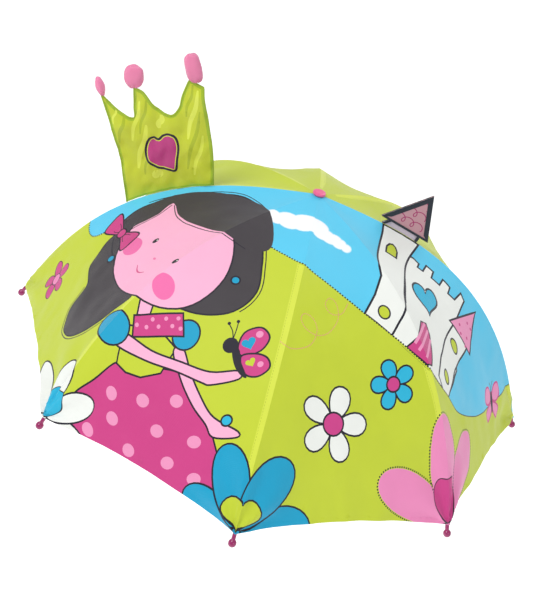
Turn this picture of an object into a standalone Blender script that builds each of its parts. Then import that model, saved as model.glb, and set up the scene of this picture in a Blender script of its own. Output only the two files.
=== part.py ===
"""A children's dome umbrella: eight ribs, a stand-up crown and a turret on the canopy, and a crook handle.

World space in metres, +Z up along the shaft. The origin is the middle of the handle's straight grip.
The umbrella is open. rib_1 is 22.5 degrees from -Y towards +X, and the others follow every 45 degrees.
In the code the ribs are numbered from 0, so number 0 is rib_1.
"""
import math

import bmesh
import bpy
from mathutils import Matrix, Vector

MM = 0.001

# Driving dimensions
RIBS = 8
RIB_ARC = 470 * MM          # from the rib's hinge to the middle of its tip ball, along the curve
SLOPE_AT_NOTCH = 8.4        # degrees below horizontal
SLOPE_AT_TIP = 65.6
HINGE_RADIUS = 8 * MM       # rib hinges, from the shaft's axis
HINGE_HEIGHT = 520 * MM     # rib hinges, above the middle of the grip
ROD_RADIUS = 1.2 * MM
STRETCHER_ARC = 0.42        # share of the rib's arc at which the stretcher is riveted
STRETCHER_DROP = 3.4 * MM   # rivet's centre under the rib's centre line
STRETCHER_LENGTH = 215 * MM
STRETCHER_ROD = 1.1 * MM
RUNNER_EYE_RADIUS = 10.6 * MM
SHAFT_RADIUS = 4 * MM
SHAFT_BORE = 3.2 * MM
GRIP_LENGTH = 88 * MM
GRIP_RADIUS = 10 * MM
CROOK_RADIUS = 26 * MM
CROOK_UPTURN = 16 * MM      # straight end past the bend
COLLAR_HEIGHT = 13 * MM
WIRE_RADIUS = 0.4 * MM      # the rings that the ribs and stretchers hang on
GAP = 0.3 * MM

# The canopy
FABRIC_UNDER = 2.0 * MM     # fabric's inner face, over the rib's centre line
FABRIC_THICK = 1.1 * MM
FABRIC_IN = -2.4 * MM       # inner edge, along the rib's curve
FABRIC_OUT = 456 * MM       # corner at the tip, along the rib's curve
HEM_RISE = 15 * MM          # how much shorter the fabric is between two ribs
FABRIC_SAG = 6 * MM
HALF_SECTOR = math.pi / RIBS

CLOTH_TOP = FABRIC_UNDER + FABRIC_THICK + GAP    # where things that lie on the canopy start, over the rib's line

# The runner and the catch springs
RUNNER_LENGTH = 45 * MM     # below the stretchers' wire
CATCH_LENGTH = 13 * MM      # of the wedge that stands out of the shaft
LEAF_LENGTH = 14 * MM       # of the thin leaf beyond it, inside the shaft
CATCH_REACH = 6.4 * MM      # wedge's face, from the shaft's axis

# The stand-up pieces
FIN_THICK = 3 * MM
CROWN_RIB = 6
TURRET_RIB = 2
STRAP_RIB = 4

parts = bpy.data.collections.new("childrens_umbrella")
tools = bpy.data.collections.new("cutters")


def clear_scene():
    for item in list(bpy.data.objects):
        bpy.data.objects.remove(item, do_unlink=True)
    for group in (parts, tools):
        bpy.context.scene.collection.children.link(group)


# ---------------------------------------------------------------- materials

def make_material(name, colour, roughness, metallic=0.0):
    """A plain finish. colour is linear RGB."""
    m = bpy.data.materials.new(name)
    m.use_nodes = True
    shader = m.node_tree.nodes["Principled BSDF"]
    shader.inputs["Base Color"].default_value = (*colour, 1)
    shader.inputs["Roughness"].default_value = roughness
    shader.inputs["Metallic"].default_value = metallic
    m.diffuse_color = (*colour, 1)
    return m


STEEL = ((0.62, 0.63, 0.64), 0.28, 1.0)
BLACK_STEEL = ((0.03, 0.03, 0.035), 0.4, 0.6)
LIME = ((0.56, 0.66, 0.05), 0.7)
MAGENTA = ((0.46, 0.02, 0.15), 0.3)
PINK = ((0.80, 0.16, 0.36), 0.35)
PALE_PINK = ((0.82, 0.33, 0.47), 0.6)
GREY = ((0.55, 0.48, 0.53), 0.7)
MAUVE = ((0.42, 0.19, 0.24), 0.7)
WHITE_PLASTIC = ((0.75, 0.75, 0.74), 0.4)


def add_part(name, mesh, finish, matrix=None):
    """A shown object in its own finish."""
    item = bpy.data.objects.new(name, mesh)
    if matrix is not None:
        item.matrix_world = matrix
    parts.objects.link(item)
    material = make_material(name, *finish)
    if not mesh.materials:
        mesh.materials.append(material)
    item.material_slots[0].link = "OBJECT"
    item.material_slots[0].material = material
    return item


# ---------------------------------------------------------------- mesh helpers

def bmesh_to_mesh(bm, name):
    bmesh.ops.recalc_face_normals(bm, faces=bm.faces)
    mesh = bpy.data.meshes.new(name)
    bm.to_mesh(mesh)
    bm.free()
    return mesh


def box_mesh(name, low, high):
    """A box between two corners."""
    bm = bmesh.new()
    bmesh.ops.create_cube(bm, size=1.0)
    low, high = Vector(low), Vector(high)
    size, middle = high - low, (high + low) / 2
    bmesh.ops.scale(bm, vec=size, verts=bm.verts)
    bmesh.ops.translate(bm, vec=middle, verts=bm.verts)
    return bmesh_to_mesh(bm, name)


def cylinder_mesh(name, start, end, radius, segments=16):
    """A cylinder between two points."""
    start, end = Vector(start), Vector(end)
    bm = bmesh.new()
    bmesh.ops.create_cone(bm, cap_ends=True, segments=segments, radius1=radius, radius2=radius,
                          depth=(end - start).length)
    turn = (end - start).to_track_quat("Z", "Y").to_matrix().to_4x4()
    bmesh.ops.transform(bm, matrix=Matrix.Translation((start + end) / 2) @ turn, verts=bm.verts)
    return bmesh_to_mesh(bm, name)


def turned_mesh(name, profile, steps=32):
    """A solid of revolution about Z. profile is a loop of (radius, height) points; radius 0 is the axis."""
    bm = bmesh.new()
    rings = []
    for radius, height in profile:
        if radius < 1e-7:
            rings.append([bm.verts.new((0, 0, height))])
        else:
            rings.append([bm.verts.new((radius * math.cos(t), radius * math.sin(t), height))
                          for t in (2 * math.pi * k / steps for k in range(steps))])
    closed = all(len(ring) > 1 for ring in rings)
    pairs = zip(rings, rings[1:] + rings[:1]) if closed else zip(rings, rings[1:])
    for one, two in pairs:
        for k in range(steps):
            quad = [one[k % len(one)], one[(k + 1) % len(one)], two[(k + 1) % len(two)], two[k % len(two)]]
            corners = list(dict.fromkeys(quad))
            if len(corners) > 2:
                bm.faces.new(corners)
    return bmesh_to_mesh(bm, name)


def tube_mesh(name, points, radius, sides=8, closed=False, shares=None):
    """A rod or wire along points, made from a curve, as a closed mesh. shares scales the radius at each point."""
    curve = bpy.data.curves.new(name + "_path", "CURVE")
    curve.dimensions = "3D"
    curve.bevel_depth = radius
    curve.bevel_resolution = max(0, sides // 2 - 2)
    curve.use_fill_caps = not closed
    spline = curve.splines.new("POLY")
    spline.points.add(len(points) - 1)
    for slot, point, share in zip(spline.points, points, shares or [1.0] * len(points)):
        slot.co = (*point, 1)
        slot.radius = share
    spline.use_cyclic_u = closed
    holder = bpy.data.objects.new(name + "_path", curve)
    tools.objects.link(holder)
    evaluated = holder.evaluated_get(bpy.context.evaluated_depsgraph_get())
    mesh = bpy.data.meshes.new_from_object(evaluated)
    bpy.data.objects.remove(holder, do_unlink=True)
    bm = bmesh.new()
    bm.from_mesh(mesh)
    bmesh.ops.remove_doubles(bm, verts=bm.verts, dist=1e-6)
    return bmesh_to_mesh(bm, name)


def plate_mesh(name, outline, thick):
    """A flat plate in the XZ plane, thick along Y, from a loop of (x, z) points."""
    bm = bmesh.new()
    face = bm.faces.new([bm.verts.new((x, -thick / 2, z)) for x, z in outline])
    grown = bmesh.ops.extrude_face_region(bm, geom=[face])
    moved = [v for v in grown["geom"] if isinstance(v, bmesh.types.BMVert)]
    bmesh.ops.translate(bm, vec=(0, thick, 0), verts=moved)
    return bmesh_to_mesh(bm, name)


def combine(name, base, steps):
    """base after a list of (operation, mesh) Boolean steps."""
    body = bpy.data.objects.new(name + "_body", base)
    tools.objects.link(body)
    helpers = []
    for operation, mesh in steps:
        helper = bpy.data.objects.new(name + "_helper", mesh)
        tools.objects.link(helper)
        helpers.append(helper)
        step = body.modifiers.new(operation.lower(), "BOOLEAN")
        step.operation = operation
        step.object = helper
        step.solver = "EXACT"
    evaluated = body.evaluated_get(bpy.context.evaluated_depsgraph_get())
    mesh = bpy.data.meshes.new_from_object(evaluated)
    mesh.materials.clear()
    for item in [body] + helpers:
        bpy.data.objects.remove(item, do_unlink=True)
    bm = bmesh.new()
    bm.from_mesh(mesh)
    bmesh.ops.remove_doubles(bm, verts=bm.verts, dist=1e-6)
    bmesh.ops.dissolve_limit(bm, angle_limit=math.radians(0.5), verts=bm.verts, edges=bm.edges)
    bmesh.ops.triangulate(bm, faces=bm.faces)
    return bmesh_to_mesh(bm, name)


def smooth(mesh, angle=35):
    mesh.shade_smooth()
    mesh.set_sharp_from_angle(angle=math.radians(angle))
    return mesh


# ---------------------------------------------------------------- rib geometry

def slope(share):
    """Angle below horizontal at a share of the rib's arc: a smooth step between the two end slopes."""
    t = min(max(share, 0.0), 1.0)
    return math.radians(SLOPE_AT_NOTCH + (SLOPE_AT_TIP - SLOPE_AT_NOTCH) * t * t * (3 - 2 * t))


def rib_point(arc, lift=0.0, steps=240):
    """(radius, height from the hinges) at a distance along the rib, lifted square to it."""
    radius, height = HINGE_RADIUS, 0.0
    pace = arc / steps
    for k in range(steps):
        angle = slope((k + 0.5) * pace / RIB_ARC)
        radius += pace * math.cos(angle)
        height -= pace * math.sin(angle)
    angle = slope(arc / RIB_ARC)
    return radius + lift * math.sin(angle), height + lift * math.cos(angle)


TIP_RADIUS, TIP_HEIGHT = rib_point(RIB_ARC)
CHORD = math.atan2(-TIP_HEIGHT, TIP_RADIUS - HINGE_RADIUS)


def rib_matrix(number, height=HINGE_HEIGHT):
    """Places rib number's own frame, with +X out along the rib and the hinges' level at z 0."""
    azimuth = (number + 0.5) * 2 * math.pi / RIBS - math.pi / 2
    return Matrix.Translation((0, 0, height)) @ Matrix.Rotation(azimuth, 4, "Z")


def cross_pin(name, x, z, half_width, radius, segments):
    """A cylinder across the rib's plane, through (x, z)."""
    return cylinder_mesh(name, (x, -half_width, z), (x, half_width, z), radius, segments)


def rib_mesh():
    """A rod from an eye on the notch's wire to the tip, with two cheeks for the stretcher's rivet."""
    start, reach = 1.1 * MM, RIB_ARC - 3.5 * MM
    stretches = 16
    eye_half, eye_radius, eye_hole = 1.0 * MM, 1.75 * MM, 0.75 * MM
    cheek_in, cheek_out, rivet_hole = 0.9 * MM, 1.9 * MM, 0.95 * MM
    through = 4 * MM
    line = [rib_point(start + (reach - start) * k / stretches) for k in range(stretches + 1)]
    rod = tube_mesh("rib_rod", [(x, 0, z) for x, z in line], ROD_RADIUS, 6)
    steps = [("UNION", cross_pin("rib_eye", HINGE_RADIUS, 0, eye_half, eye_radius, 10))]
    x, z = rib_point(RIB_ARC * STRETCHER_ARC, -STRETCHER_DROP)
    for low, high in ((-cheek_out, -cheek_in), (cheek_in, cheek_out)):
        steps.append(("UNION", cheek_mesh(x, z, low, high)))
    steps.append(("DIFFERENCE", cross_pin("rib_hole", HINGE_RADIUS, 0, through, eye_hole, 8)))
    steps.append(("DIFFERENCE", cross_pin("rib_pin_hole", x, z, through, rivet_hole, 6)))
    return smooth(combine("rib", rod, steps))


def cheek_mesh(x, z, low, high):
    """One cheek of the rivet bracket: a plate that hangs from the rod and is round at the rivet."""
    radius, overlap = 2.5 * MM, 0.4 * MM
    angle = slope(STRETCHER_ARC)
    along = Vector((math.cos(angle), 0, -math.sin(angle)))
    up = Vector((math.sin(angle), 0, math.cos(angle)))
    centre = Vector((x, 0, z))
    rim = [centre + radius * (math.cos(t) * along + math.sin(t) * up)
           for t in (math.radians(180 + 180 * k / 6) for k in range(7))]
    top = [centre + radius * along * side + (STRETCHER_DROP + overlap) * up for side in (1, -1)]
    mesh = plate_mesh("rib_cheek", [(p.x, p.z) for p in rim + top], high - low)
    mesh.transform(Matrix.Translation((0, (low + high) / 2, 0)))
    return mesh


def runner_height():
    """Height of the stretchers' lower ends from the rib hinges, with the umbrella open."""
    x, z = rib_point(RIB_ARC * STRETCHER_ARC, -STRETCHER_DROP)
    return z - math.sqrt(STRETCHER_LENGTH ** 2 - (x - RUNNER_EYE_RADIUS) ** 2)


RUNNER_HEIGHT = runner_height()


def stretcher_mesh():
    """A rod from the rib's rivet to the runner, with a thin eye and the rivet through it at the top."""
    rod_start, eye_half, eye_radius = 4.2 * MM, 0.55 * MM, 1.9 * MM
    pin_half, pin_radius = 2.9 * MM, 0.6 * MM
    head_in, head_out, head_radius = 2.25 * MM, 2.8 * MM, 1.3 * MM
    x, z = rib_point(RIB_ARC * STRETCHER_ARC, -STRETCHER_DROP)
    top = Vector((x, 0, z))
    foot = Vector((RUNNER_EYE_RADIUS + STRETCHER_ROD, 0, RUNNER_HEIGHT))
    way = (foot - top).normalized()
    rod = tube_mesh("stretcher_rod", [tuple(top + way * rod_start), tuple(foot)], STRETCHER_ROD)
    steps = [("UNION", plate_mesh("stretcher_neck", neck_outline(top, way), 2 * eye_half)),
             ("UNION", cross_pin("stretcher_eye", x, z, eye_half, eye_radius, 10)),
             ("UNION", cross_pin("stretcher_pin", x, z, pin_half, pin_radius, 6))]
    for side in (-1, 1):
        ends = (x, side * head_in, z), (x, side * head_out, z)
        steps.append(("UNION", cylinder_mesh("stretcher_head", *ends, head_radius, 6)))
    return smooth(combine("stretcher", rod, steps))


def neck_outline(top, way):
    """The flat neck between a stretcher's eye and its rod."""
    length, half_near, half_far = 7 * MM, 1.0 * MM, 0.9 * MM
    across = Vector((-way.z, 0, way.x))
    far = top + way * length
    corners = [top + across * half_near, far + across * half_far, far - across * half_far,
               top - across * half_near]
    return [(p.x, p.z) for p in corners]


def tip_mesh():
    """The moulded ball that closes a rib, with a short stem towards the canopy and a socket for the rod."""
    ball, stem, chamfer = 4.8 * MM, 2.7 * MM, 0.8 * MM
    neck = 7.6 * MM
    socket, depth = 1.6 * MM, -1.4 * MM
    profile = [(0, -ball)]
    profile += [(ball * math.sin(t), -ball * math.cos(t))
                for t in (math.radians(a) for a in (36, 72, 108, 142))]
    profile += [(stem, neck - chamfer), (stem - chamfer, neck), (socket, neck), (socket, depth), (0, depth)]
    mesh = turned_mesh("tip", profile, 12)
    x, z = rib_point(RIB_ARC)
    angle = slope(1.0)
    inward = Vector((-math.cos(angle), 0, math.sin(angle)))
    turn = inward.to_track_quat("Z", "Y").to_matrix().to_4x4()
    mesh.transform(Matrix.Translation((x, 0, z)) @ turn)
    return smooth(mesh)


def panel_mesh(side):
    """Half a gore, from its rib to the middle between two ribs, as a thin closed shell. side is 1 or -1."""
    along, across = 14, 3
    edge = 0.25 * MM
    layers = []
    for lift in (FABRIC_UNDER, FABRIC_UNDER + FABRIC_THICK):
        layers.append([[panel_point(i / along, j / across, side, lift, edge) for j in range(across + 1)]
                       for i in range(along + 1)])
    bm = bmesh.new()
    grids = [[[bm.verts.new(p) for p in row] for row in layer] for layer in layers]
    for grid in grids:
        for i in range(along):
            for j in range(across):
                bm.faces.new([grid[i][j], grid[i + 1][j], grid[i + 1][j + 1], grid[i][j + 1]])
    low, high = grids
    border = [(i, 0) for i in range(along)] + [(along, j) for j in range(across)]
    border += [(i, across) for i in range(along, 0, -1)] + [(0, j) for j in range(across, 0, -1)]
    for (a, b), (c, d) in zip(border, border[1:] + border[:1]):
        bm.faces.new([low[a][b], low[c][d], high[c][d], high[a][b]])
    return smooth(bmesh_to_mesh(bm, "panel"), 50)


def panel_point(share, towards, side, lift, edge):
    """A point of the canopy in its rib's frame. share runs from the cap to the hem, towards to mid-gore."""
    ease = towards * (2 - towards)
    arc = FABRIC_IN + share * (FABRIC_OUT - HEM_RISE * ease - FABRIC_IN)
    radius, height = rib_point(arc, lift)
    inset = FABRIC_SAG * math.sin(math.pi * min(max(arc / RIB_ARC, 0), 1)) * ease
    angle = slope(arc / RIB_ARC)
    on_rib = Vector((radius, 0, height))
    reach = radius * math.cos(HALF_SECTOR)
    middle = Vector((reach * math.cos(HALF_SECTOR), reach * math.sin(HALF_SECTOR), height))
    point = on_rib.lerp(middle, towards)
    outward = Vector((point.x, point.y, 0)).normalized()
    point -= inset * (outward * math.sin(angle) + Vector((0, 0, math.cos(angle))))
    along_middle = Vector((math.cos(HALF_SECTOR), math.sin(HALF_SECTOR), 0))
    square = Vector((-along_middle.y, along_middle.x, 0))
    room = point.dot(square)
    if room > -edge:
        point -= square * (room + edge)
    point.y = max(point.y, edge)
    return (point.x, side * point.y, point.z)


def make_canopy_and_frame():
    rib, stretcher, tip = rib_mesh(), stretcher_mesh(), tip_mesh()
    panels = {"left": panel_mesh(-1), "right": panel_mesh(1)}
    for number in range(RIBS):
        place = rib_matrix(number)
        label = number + 1
        add_part(f"rib_{label}", rib, STEEL, place)
        add_part(f"stretcher_{label}", stretcher, STEEL, place)
        add_part(f"rib_tip_{label}", tip, MAGENTA, place)
        for side, mesh in panels.items():
            add_part(f"canopy_{label}_{side}", mesh, LIME, place)


# ---------------------------------------------------------------- shaft, notch, runner, catches, cap

def ring_points(radius, height, count=32):
    return [(radius * math.cos(t), radius * math.sin(t), height)
            for t in (2 * math.pi * k / count for k in range(count))]


def radial_slot(name, number, half_width, start, end, low, high):
    """A box cutter that runs out along rib number's direction."""
    mesh = box_mesh(name, (start, -half_width, low), (end, half_width, high))
    mesh.transform(rib_matrix(number, 0))
    return mesh


def make_notch():
    """The slotted disc at the top of the shaft that holds the ribs on a wire."""
    bore, rim, top, bottom = SHAFT_RADIUS + GAP, 10.6 * MM, 1.0 * MM, -8 * MM
    foot_radius, taper_from, chamfer = 6.2 * MM, -4.5 * MM, 0.4 * MM
    groove = WIRE_RADIUS + 0.4 * MM
    groove_in, groove_out = HINGE_RADIUS - groove, HINGE_RADIUS + groove
    slot_half, slot_in, slot_out, slot_low, slot_high = 1.55 * MM, 5.9 * MM, 14 * MM, -12 * MM, 4 * MM
    profile = [(bore, top), (bore, bottom), (foot_radius, bottom), (rim, taper_from), (rim, top - chamfer),
               (groove_out, top), (groove_out, -groove), (groove_in, -groove), (groove_in, top)]
    body = turned_mesh("top_notch", profile, 24)
    slots = [("DIFFERENCE", radial_slot("slot", k, slot_half, slot_in, slot_out, slot_low, slot_high))
             for k in range(RIBS)]
    place = Matrix.Translation((0, 0, HINGE_HEIGHT))
    add_part("top_notch", smooth(combine("top_notch", body, slots)), WHITE_PLASTIC, place)
    wire = tube_mesh("notch_wire", ring_points(HINGE_RADIUS, 0), WIRE_RADIUS, 6, closed=True)
    add_part("notch_wire", smooth(wire), STEEL, place)


def make_runner():
    """The sliding tube: a slotted flange for the stretchers' wire, a finger bead and a keyway over the catches."""
    bore, body, flange, bead = SHAFT_RADIUS + 0.45 * MM, 6.5 * MM, 9.2 * MM, 7.9 * MM
    top, under, foot = 2.2 * MM, -4 * MM, -RUNNER_LENGTH
    chamfer, bead_top, bead_end, flange_taper = 1.2 * MM, 5 * MM, 7 * MM, 3 * MM
    wire_ring, groove = 8.1 * MM, WIRE_RADIUS + GAP
    slot_half, slot_in, slot_out, slot_low, slot_high = 1.4 * MM, 7.2 * MM, 14 * MM, -2.4 * MM, 5 * MM
    key_half, key_depth, past = 1.7 * MM, 7.1 * MM, 5 * MM
    profile = [(bore, top), (bore, foot), (bead - chamfer / 2, foot), (bead, foot + chamfer),
               (bead, foot + bead_top), (body, foot + bead_end), (body, under - flange_taper),
               (flange, under), (flange, top), (wire_ring + groove, top), (wire_ring + groove, -groove),
               (wire_ring - groove, -groove), (wire_ring - groove, top)]
    mesh = turned_mesh("runner", profile, 24)
    steps = [("DIFFERENCE", radial_slot("runner_slot", k, slot_half, slot_in, slot_out, slot_low, slot_high))
             for k in range(RIBS)]
    keyway = box_mesh("keyway", (-key_half, -key_depth, foot - past), (key_half, 0, top + past))
    steps.append(("DIFFERENCE", keyway))
    place = Matrix.Translation((0, 0, HINGE_HEIGHT + RUNNER_HEIGHT))
    add_part("runner", smooth(combine("runner", mesh, steps)), WHITE_PLASTIC, place)
    wire = tube_mesh("runner_wire", ring_points(wire_ring, 0), WIRE_RADIUS, 6, closed=True)
    add_part("runner_wire", smooth(wire), STEEL, place)


TOP_CATCH = HINGE_HEIGHT + RUNNER_HEIGHT - RUNNER_LENGTH - 4 * MM
BOTTOM_CATCH = 121 * MM


def catch_mesh(name):
    """A bent catch spring: a wedge through the shaft's slot, on a thin leaf that runs on inside the tube."""
    inner, width = -1.9 * MM, 2.0 * MM
    leaf_face, wedge_face = inner - 0.8 * MM, inner - 1.4 * MM
    flat, bend, end = -2.5 * MM, 0.5 * MM - CATCH_LENGTH, -CATCH_LENGTH - LEAF_LENGTH
    outline = [(-CATCH_REACH, 0), (-CATCH_REACH, flat), (wedge_face, bend), (leaf_face, -CATCH_LENGTH),
               (leaf_face, end), (inner, end), (inner, 0)]
    mesh = plate_mesh(name, outline, width)
    mesh.transform(Matrix.Rotation(math.pi / 2, 4, "Z"))
    return mesh


def make_shaft():
    """The steel tube, with a slot for each catch, and the two catch springs in it."""
    low, high = 12 * MM, HINGE_HEIGHT + 3.2 * MM
    slot_half, slot_out, slot_in = 1.35 * MM, -6 * MM, -1 * MM
    above, below = 0.8 * MM, CATCH_LENGTH + 1 * MM
    profile = [(SHAFT_BORE, high), (SHAFT_BORE, low), (SHAFT_RADIUS, low), (SHAFT_RADIUS, high)]
    steps = []
    for name, base in (("top_spring", TOP_CATCH), ("bottom_spring", BOTTOM_CATCH)):
        slot = box_mesh("catch_slot", (-slot_half, slot_out, base - below), (slot_half, slot_in, base + above))
        steps.append(("DIFFERENCE", slot))
        add_part(name, catch_mesh(name), STEEL, Matrix.Translation((0, 0, base)))
    add_part("shaft", smooth(combine("shaft", turned_mesh("shaft", profile, 32), steps)), STEEL)


def make_cap():
    """The moulded cap over the canopy's centre, its spigot in the shaft, and the washer under it."""
    seat, top = 4.4 * MM, 8.2 * MM
    rim, flat, edge = 8.6 * MM, 6.2 * MM, 0.7 * MM
    spigot, depth = 2.8 * MM, 11 * MM
    washer_in, washer_out, washer_low = SHAFT_RADIUS + 2 * GAP, 7.6 * MM, seat - 0.8 * MM
    profile = [(0, top), (flat, top), (rim - edge, top - edge), (rim, top - 3 * edge), (rim, seat + edge),
               (rim - edge, seat), (spigot, seat), (spigot, seat - depth), (0, seat - depth)]
    place = Matrix.Translation((0, 0, HINGE_HEIGHT))
    add_part("top_cap", smooth(turned_mesh("top_cap", profile, 32)), PINK, place)
    washer = [(washer_in, seat - GAP), (washer_in, washer_low), (washer_out, washer_low),
              (washer_out, seat - GAP)]
    add_part("cap_washer", turned_mesh("cap_washer", washer, 32), PINK, place)


# ---------------------------------------------------------------- handle

def make_handle():
    """A crook that curls towards +Y: a grip, half a turn and a short upturned end, bored for the shaft."""
    half, span = GRIP_LENGTH / 2, 2 * CROOK_RADIUS
    bends, rounding = 14, [math.radians(a) for a in (25, 50, 72)]
    bore_low, past = 10 * MM, 5 * MM
    path = [(0, 0, half), (0, 0, 0), (0, 0, -half)]
    path += [(0, CROOK_RADIUS - CROOK_RADIUS * math.cos(t), -half - CROOK_RADIUS * math.sin(t))
             for t in (math.pi * k / bends for k in range(1, bends))]
    path += [(0, span, -half), (0, span, CROOK_UPTURN - half)]
    path += [(0, span, CROOK_UPTURN - half + GRIP_RADIUS * math.sin(t)) for t in rounding]
    shares = [1.0] * (len(path) - len(rounding)) + [math.cos(t) for t in rounding]
    rod = tube_mesh("handle_rod", path, GRIP_RADIUS, 14, shares=shares)
    bore = cylinder_mesh("handle_bore", (0, 0, bore_low), (0, 0, half + past), SHAFT_RADIUS + GAP, 24)
    add_part("handle", smooth(combine("handle", rod, [("DIFFERENCE", bore)])), MAGENTA)


def make_collar():
    """The tapered ring on the grip's top end."""
    bore, foot = SHAFT_RADIUS + GAP, GRIP_LENGTH / 2 + GAP
    top = GRIP_LENGTH / 2 + COLLAR_HEIGHT
    edge, bead, neck = 0.6 * MM, 4 * MM, 2 * MM
    top_radius, neck_radius = 6 * MM, 7 * MM
    profile = [(bore, top), (bore, foot), (GRIP_RADIUS - edge, foot), (GRIP_RADIUS, foot + edge),
               (GRIP_RADIUS - edge, foot + bead), (neck_radius, top - neck), (top_radius, top)]
    add_part("handle_collar", smooth(turned_mesh("handle_collar", profile, 32)), PINK)


# ---------------------------------------------------------------- crown, turret, strap

def canopy_line(start, end, count):
    """(radius, height) points on top of the canopy along a rib, between two radii from the axis."""
    found = []
    for k in range(count + 1):
        wanted = start + (end - start) * k / count
        arc = wanted
        for _ in range(12):
            arc += wanted - rib_point(arc, CLOTH_TOP)[0]
        found.append(rib_point(arc, CLOTH_TOP))
    return found


def make_crown():
    """A soft crown that stands along its rib, in the plane of the shaft, with a puff on each point."""
    puffs = ((298, 68, 7, 10, 25), (259, 90, 12, 12, 0), (188, 121, 13, 16, -15))
    puff_thick = 6
    points = [(256, -25), (274, 14), (295, 56), (272, 42), (250, 37), (254, 62), (256, 76), (234, 60),
              (200, 55), (196, 84), (191, 104), (173, 100), (164, 76), (155, 49), (144, 18)]
    outline = canopy_line(134 * MM, 239 * MM, 6) + [(x * MM, z * MM) for x, z in points]
    place = rib_matrix(CROWN_RIB)
    add_part("crown", plate_mesh("crown", outline, FIN_THICK), LIME, place)
    for label, (x, z, wide, tall, lean) in enumerate(puffs, 1):
        bm = bmesh.new()
        bmesh.ops.create_uvsphere(bm, u_segments=10, v_segments=6, radius=MM)
        move = Matrix.Translation((x * MM, 0, z * MM)) @ Matrix.Rotation(math.radians(lean), 4, "Y")
        bmesh.ops.transform(bm, matrix=move @ Matrix.Diagonal((wide, puff_thick, tall, 1)), verts=bm.verts)
        name = f"crown_puff_{label}"
        add_part(name, smooth(bmesh_to_mesh(bm, name)), PALE_PINK, place)


def make_turret():
    """A soft castle turret on the opposite rib: a wall that stands on the canopy and a pointed roof over it."""
    wall = canopy_line(88 * MM, 139 * MM, 4) + [(141 * MM, -18.6 * MM), (98 * MM, -3.4 * MM)]
    roof = [(85, -1), (140, 44), (153, -21), (141.4, -17.9), (98.4, -2.7)]
    roof_thick = FIN_THICK + 1 * MM
    place = rib_matrix(TURRET_RIB)
    add_part("turret_wall", plate_mesh("turret_wall", wall, FIN_THICK), GREY, place)
    outline = [(x * MM, z * MM) for x, z in roof]
    add_part("turret_roof", plate_mesh("turret_roof", outline, roof_thick), MAUVE, place)


def make_strap():
    """The closing strap, sewn along a back seam near the hem and lying on the canopy."""
    start, length, bends = 0.80, 0.15, 5
    thick, width = 1 * MM, 16 * MM
    arcs = [RIB_ARC * (start + length * k / bends) for k in range(bends + 1)]
    outline = [rib_point(arc, CLOTH_TOP) for arc in arcs]
    outline += [rib_point(arc, CLOTH_TOP + thick) for arc in reversed(arcs)]
    add_part("closing_strap", plate_mesh("closing_strap", outline, width), LIME, rib_matrix(STRAP_RIB))


def main():
    clear_scene()
    make_canopy_and_frame()
    make_notch()
    make_runner()
    make_shaft()
    make_cap()
    make_handle()
    make_collar()
    make_crown()
    make_turret()
    make_strap()


main()
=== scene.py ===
"""The looks of a children's dome umbrella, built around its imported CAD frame.

World space in metres, +Z up along the shaft, with the origin in the middle of the handle's straight
grip. Azimuths are counted in degrees from -Y towards +X. Rib 1 is at 22.5 degrees, and the ribs go on
every 45 degrees.

The canopy's print is drawn on a flat pattern in millimetres: x to the right, y up, with the shaft's axis
at (0, 0). A point of the pattern is as far from the axis as the cloth is long there, so each gore is a
flat triangle on it.
"""
import math

import bmesh
import bpy
import numpy as np
from mathutils import Matrix, Vector, geometry, noise


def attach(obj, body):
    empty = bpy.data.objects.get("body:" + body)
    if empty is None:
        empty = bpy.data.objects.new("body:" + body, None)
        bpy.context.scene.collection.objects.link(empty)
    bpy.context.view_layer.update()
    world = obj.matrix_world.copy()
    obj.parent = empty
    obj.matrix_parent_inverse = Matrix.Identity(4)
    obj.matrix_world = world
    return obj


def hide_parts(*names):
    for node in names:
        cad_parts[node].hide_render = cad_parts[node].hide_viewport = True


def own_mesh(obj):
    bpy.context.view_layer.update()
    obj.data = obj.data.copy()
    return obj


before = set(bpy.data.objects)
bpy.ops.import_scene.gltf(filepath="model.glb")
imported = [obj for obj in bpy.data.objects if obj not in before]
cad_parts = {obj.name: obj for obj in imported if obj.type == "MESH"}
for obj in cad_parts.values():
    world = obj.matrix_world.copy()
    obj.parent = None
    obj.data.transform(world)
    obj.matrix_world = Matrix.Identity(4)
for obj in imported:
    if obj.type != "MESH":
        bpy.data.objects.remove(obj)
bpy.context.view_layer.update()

MM = 0.001
RIBS = 8
HALF = math.pi / RIBS

# The CAD's own dimensions, in millimetres
RIB_ARC = 470.0             # from the rib's hinge to the middle of its tip ball, along the curve
SLOPE_AT_NOTCH = 8.4        # degrees below horizontal
SLOPE_AT_TIP = 65.6
HINGE_RADIUS = 8.0
HINGE_HEIGHT = 520.0
STRETCHER_ARC = 0.42
STRETCHER_DROP = 3.4
STRETCHER_LENGTH = 215.0
STRETCHER_ROD = 1.1
RUNNER_EYE_RADIUS = 10.6    # of the runner's wire
STRETCHER_FOOT = 11.7       # radius of the stretchers' lower ends: the eye and the rod's own radius
RIB_ROD = 1.2
GRIP_HALF, CROOK_BEND, CROOK_UPTURN, GRIP_RADIUS = 44.0, 26.0, 16.0, 10.0
FABRIC_IN, FABRIC_OUT = -2.4, 458.0
HEM_RISE = 10.0
FABRIC_SAG = 6.0

# The cloth
CLOTH_LIFT = 2.3            # inner face, over the rib's centre line
CLOTH_THICK = 0.35
CLOTH_GRID = 6.5            # size of its triangles
SEAM_ROWS, HEM_STEPS = 76, 32
HEM_WIDTH = 6.0
SEAM_WIDTH = 8.0
INK_WIDTH = 2.2

# Rib and side of each printed half gore
PRINTED = {(6, 1), (7, -1), (7, 1), (0, -1), (0, 1), (1, -1), (1, 1), (2, -1)}
CROWN_RIB, TURRET_RIB, STRAP_RIB = 6, 2, 4


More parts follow.
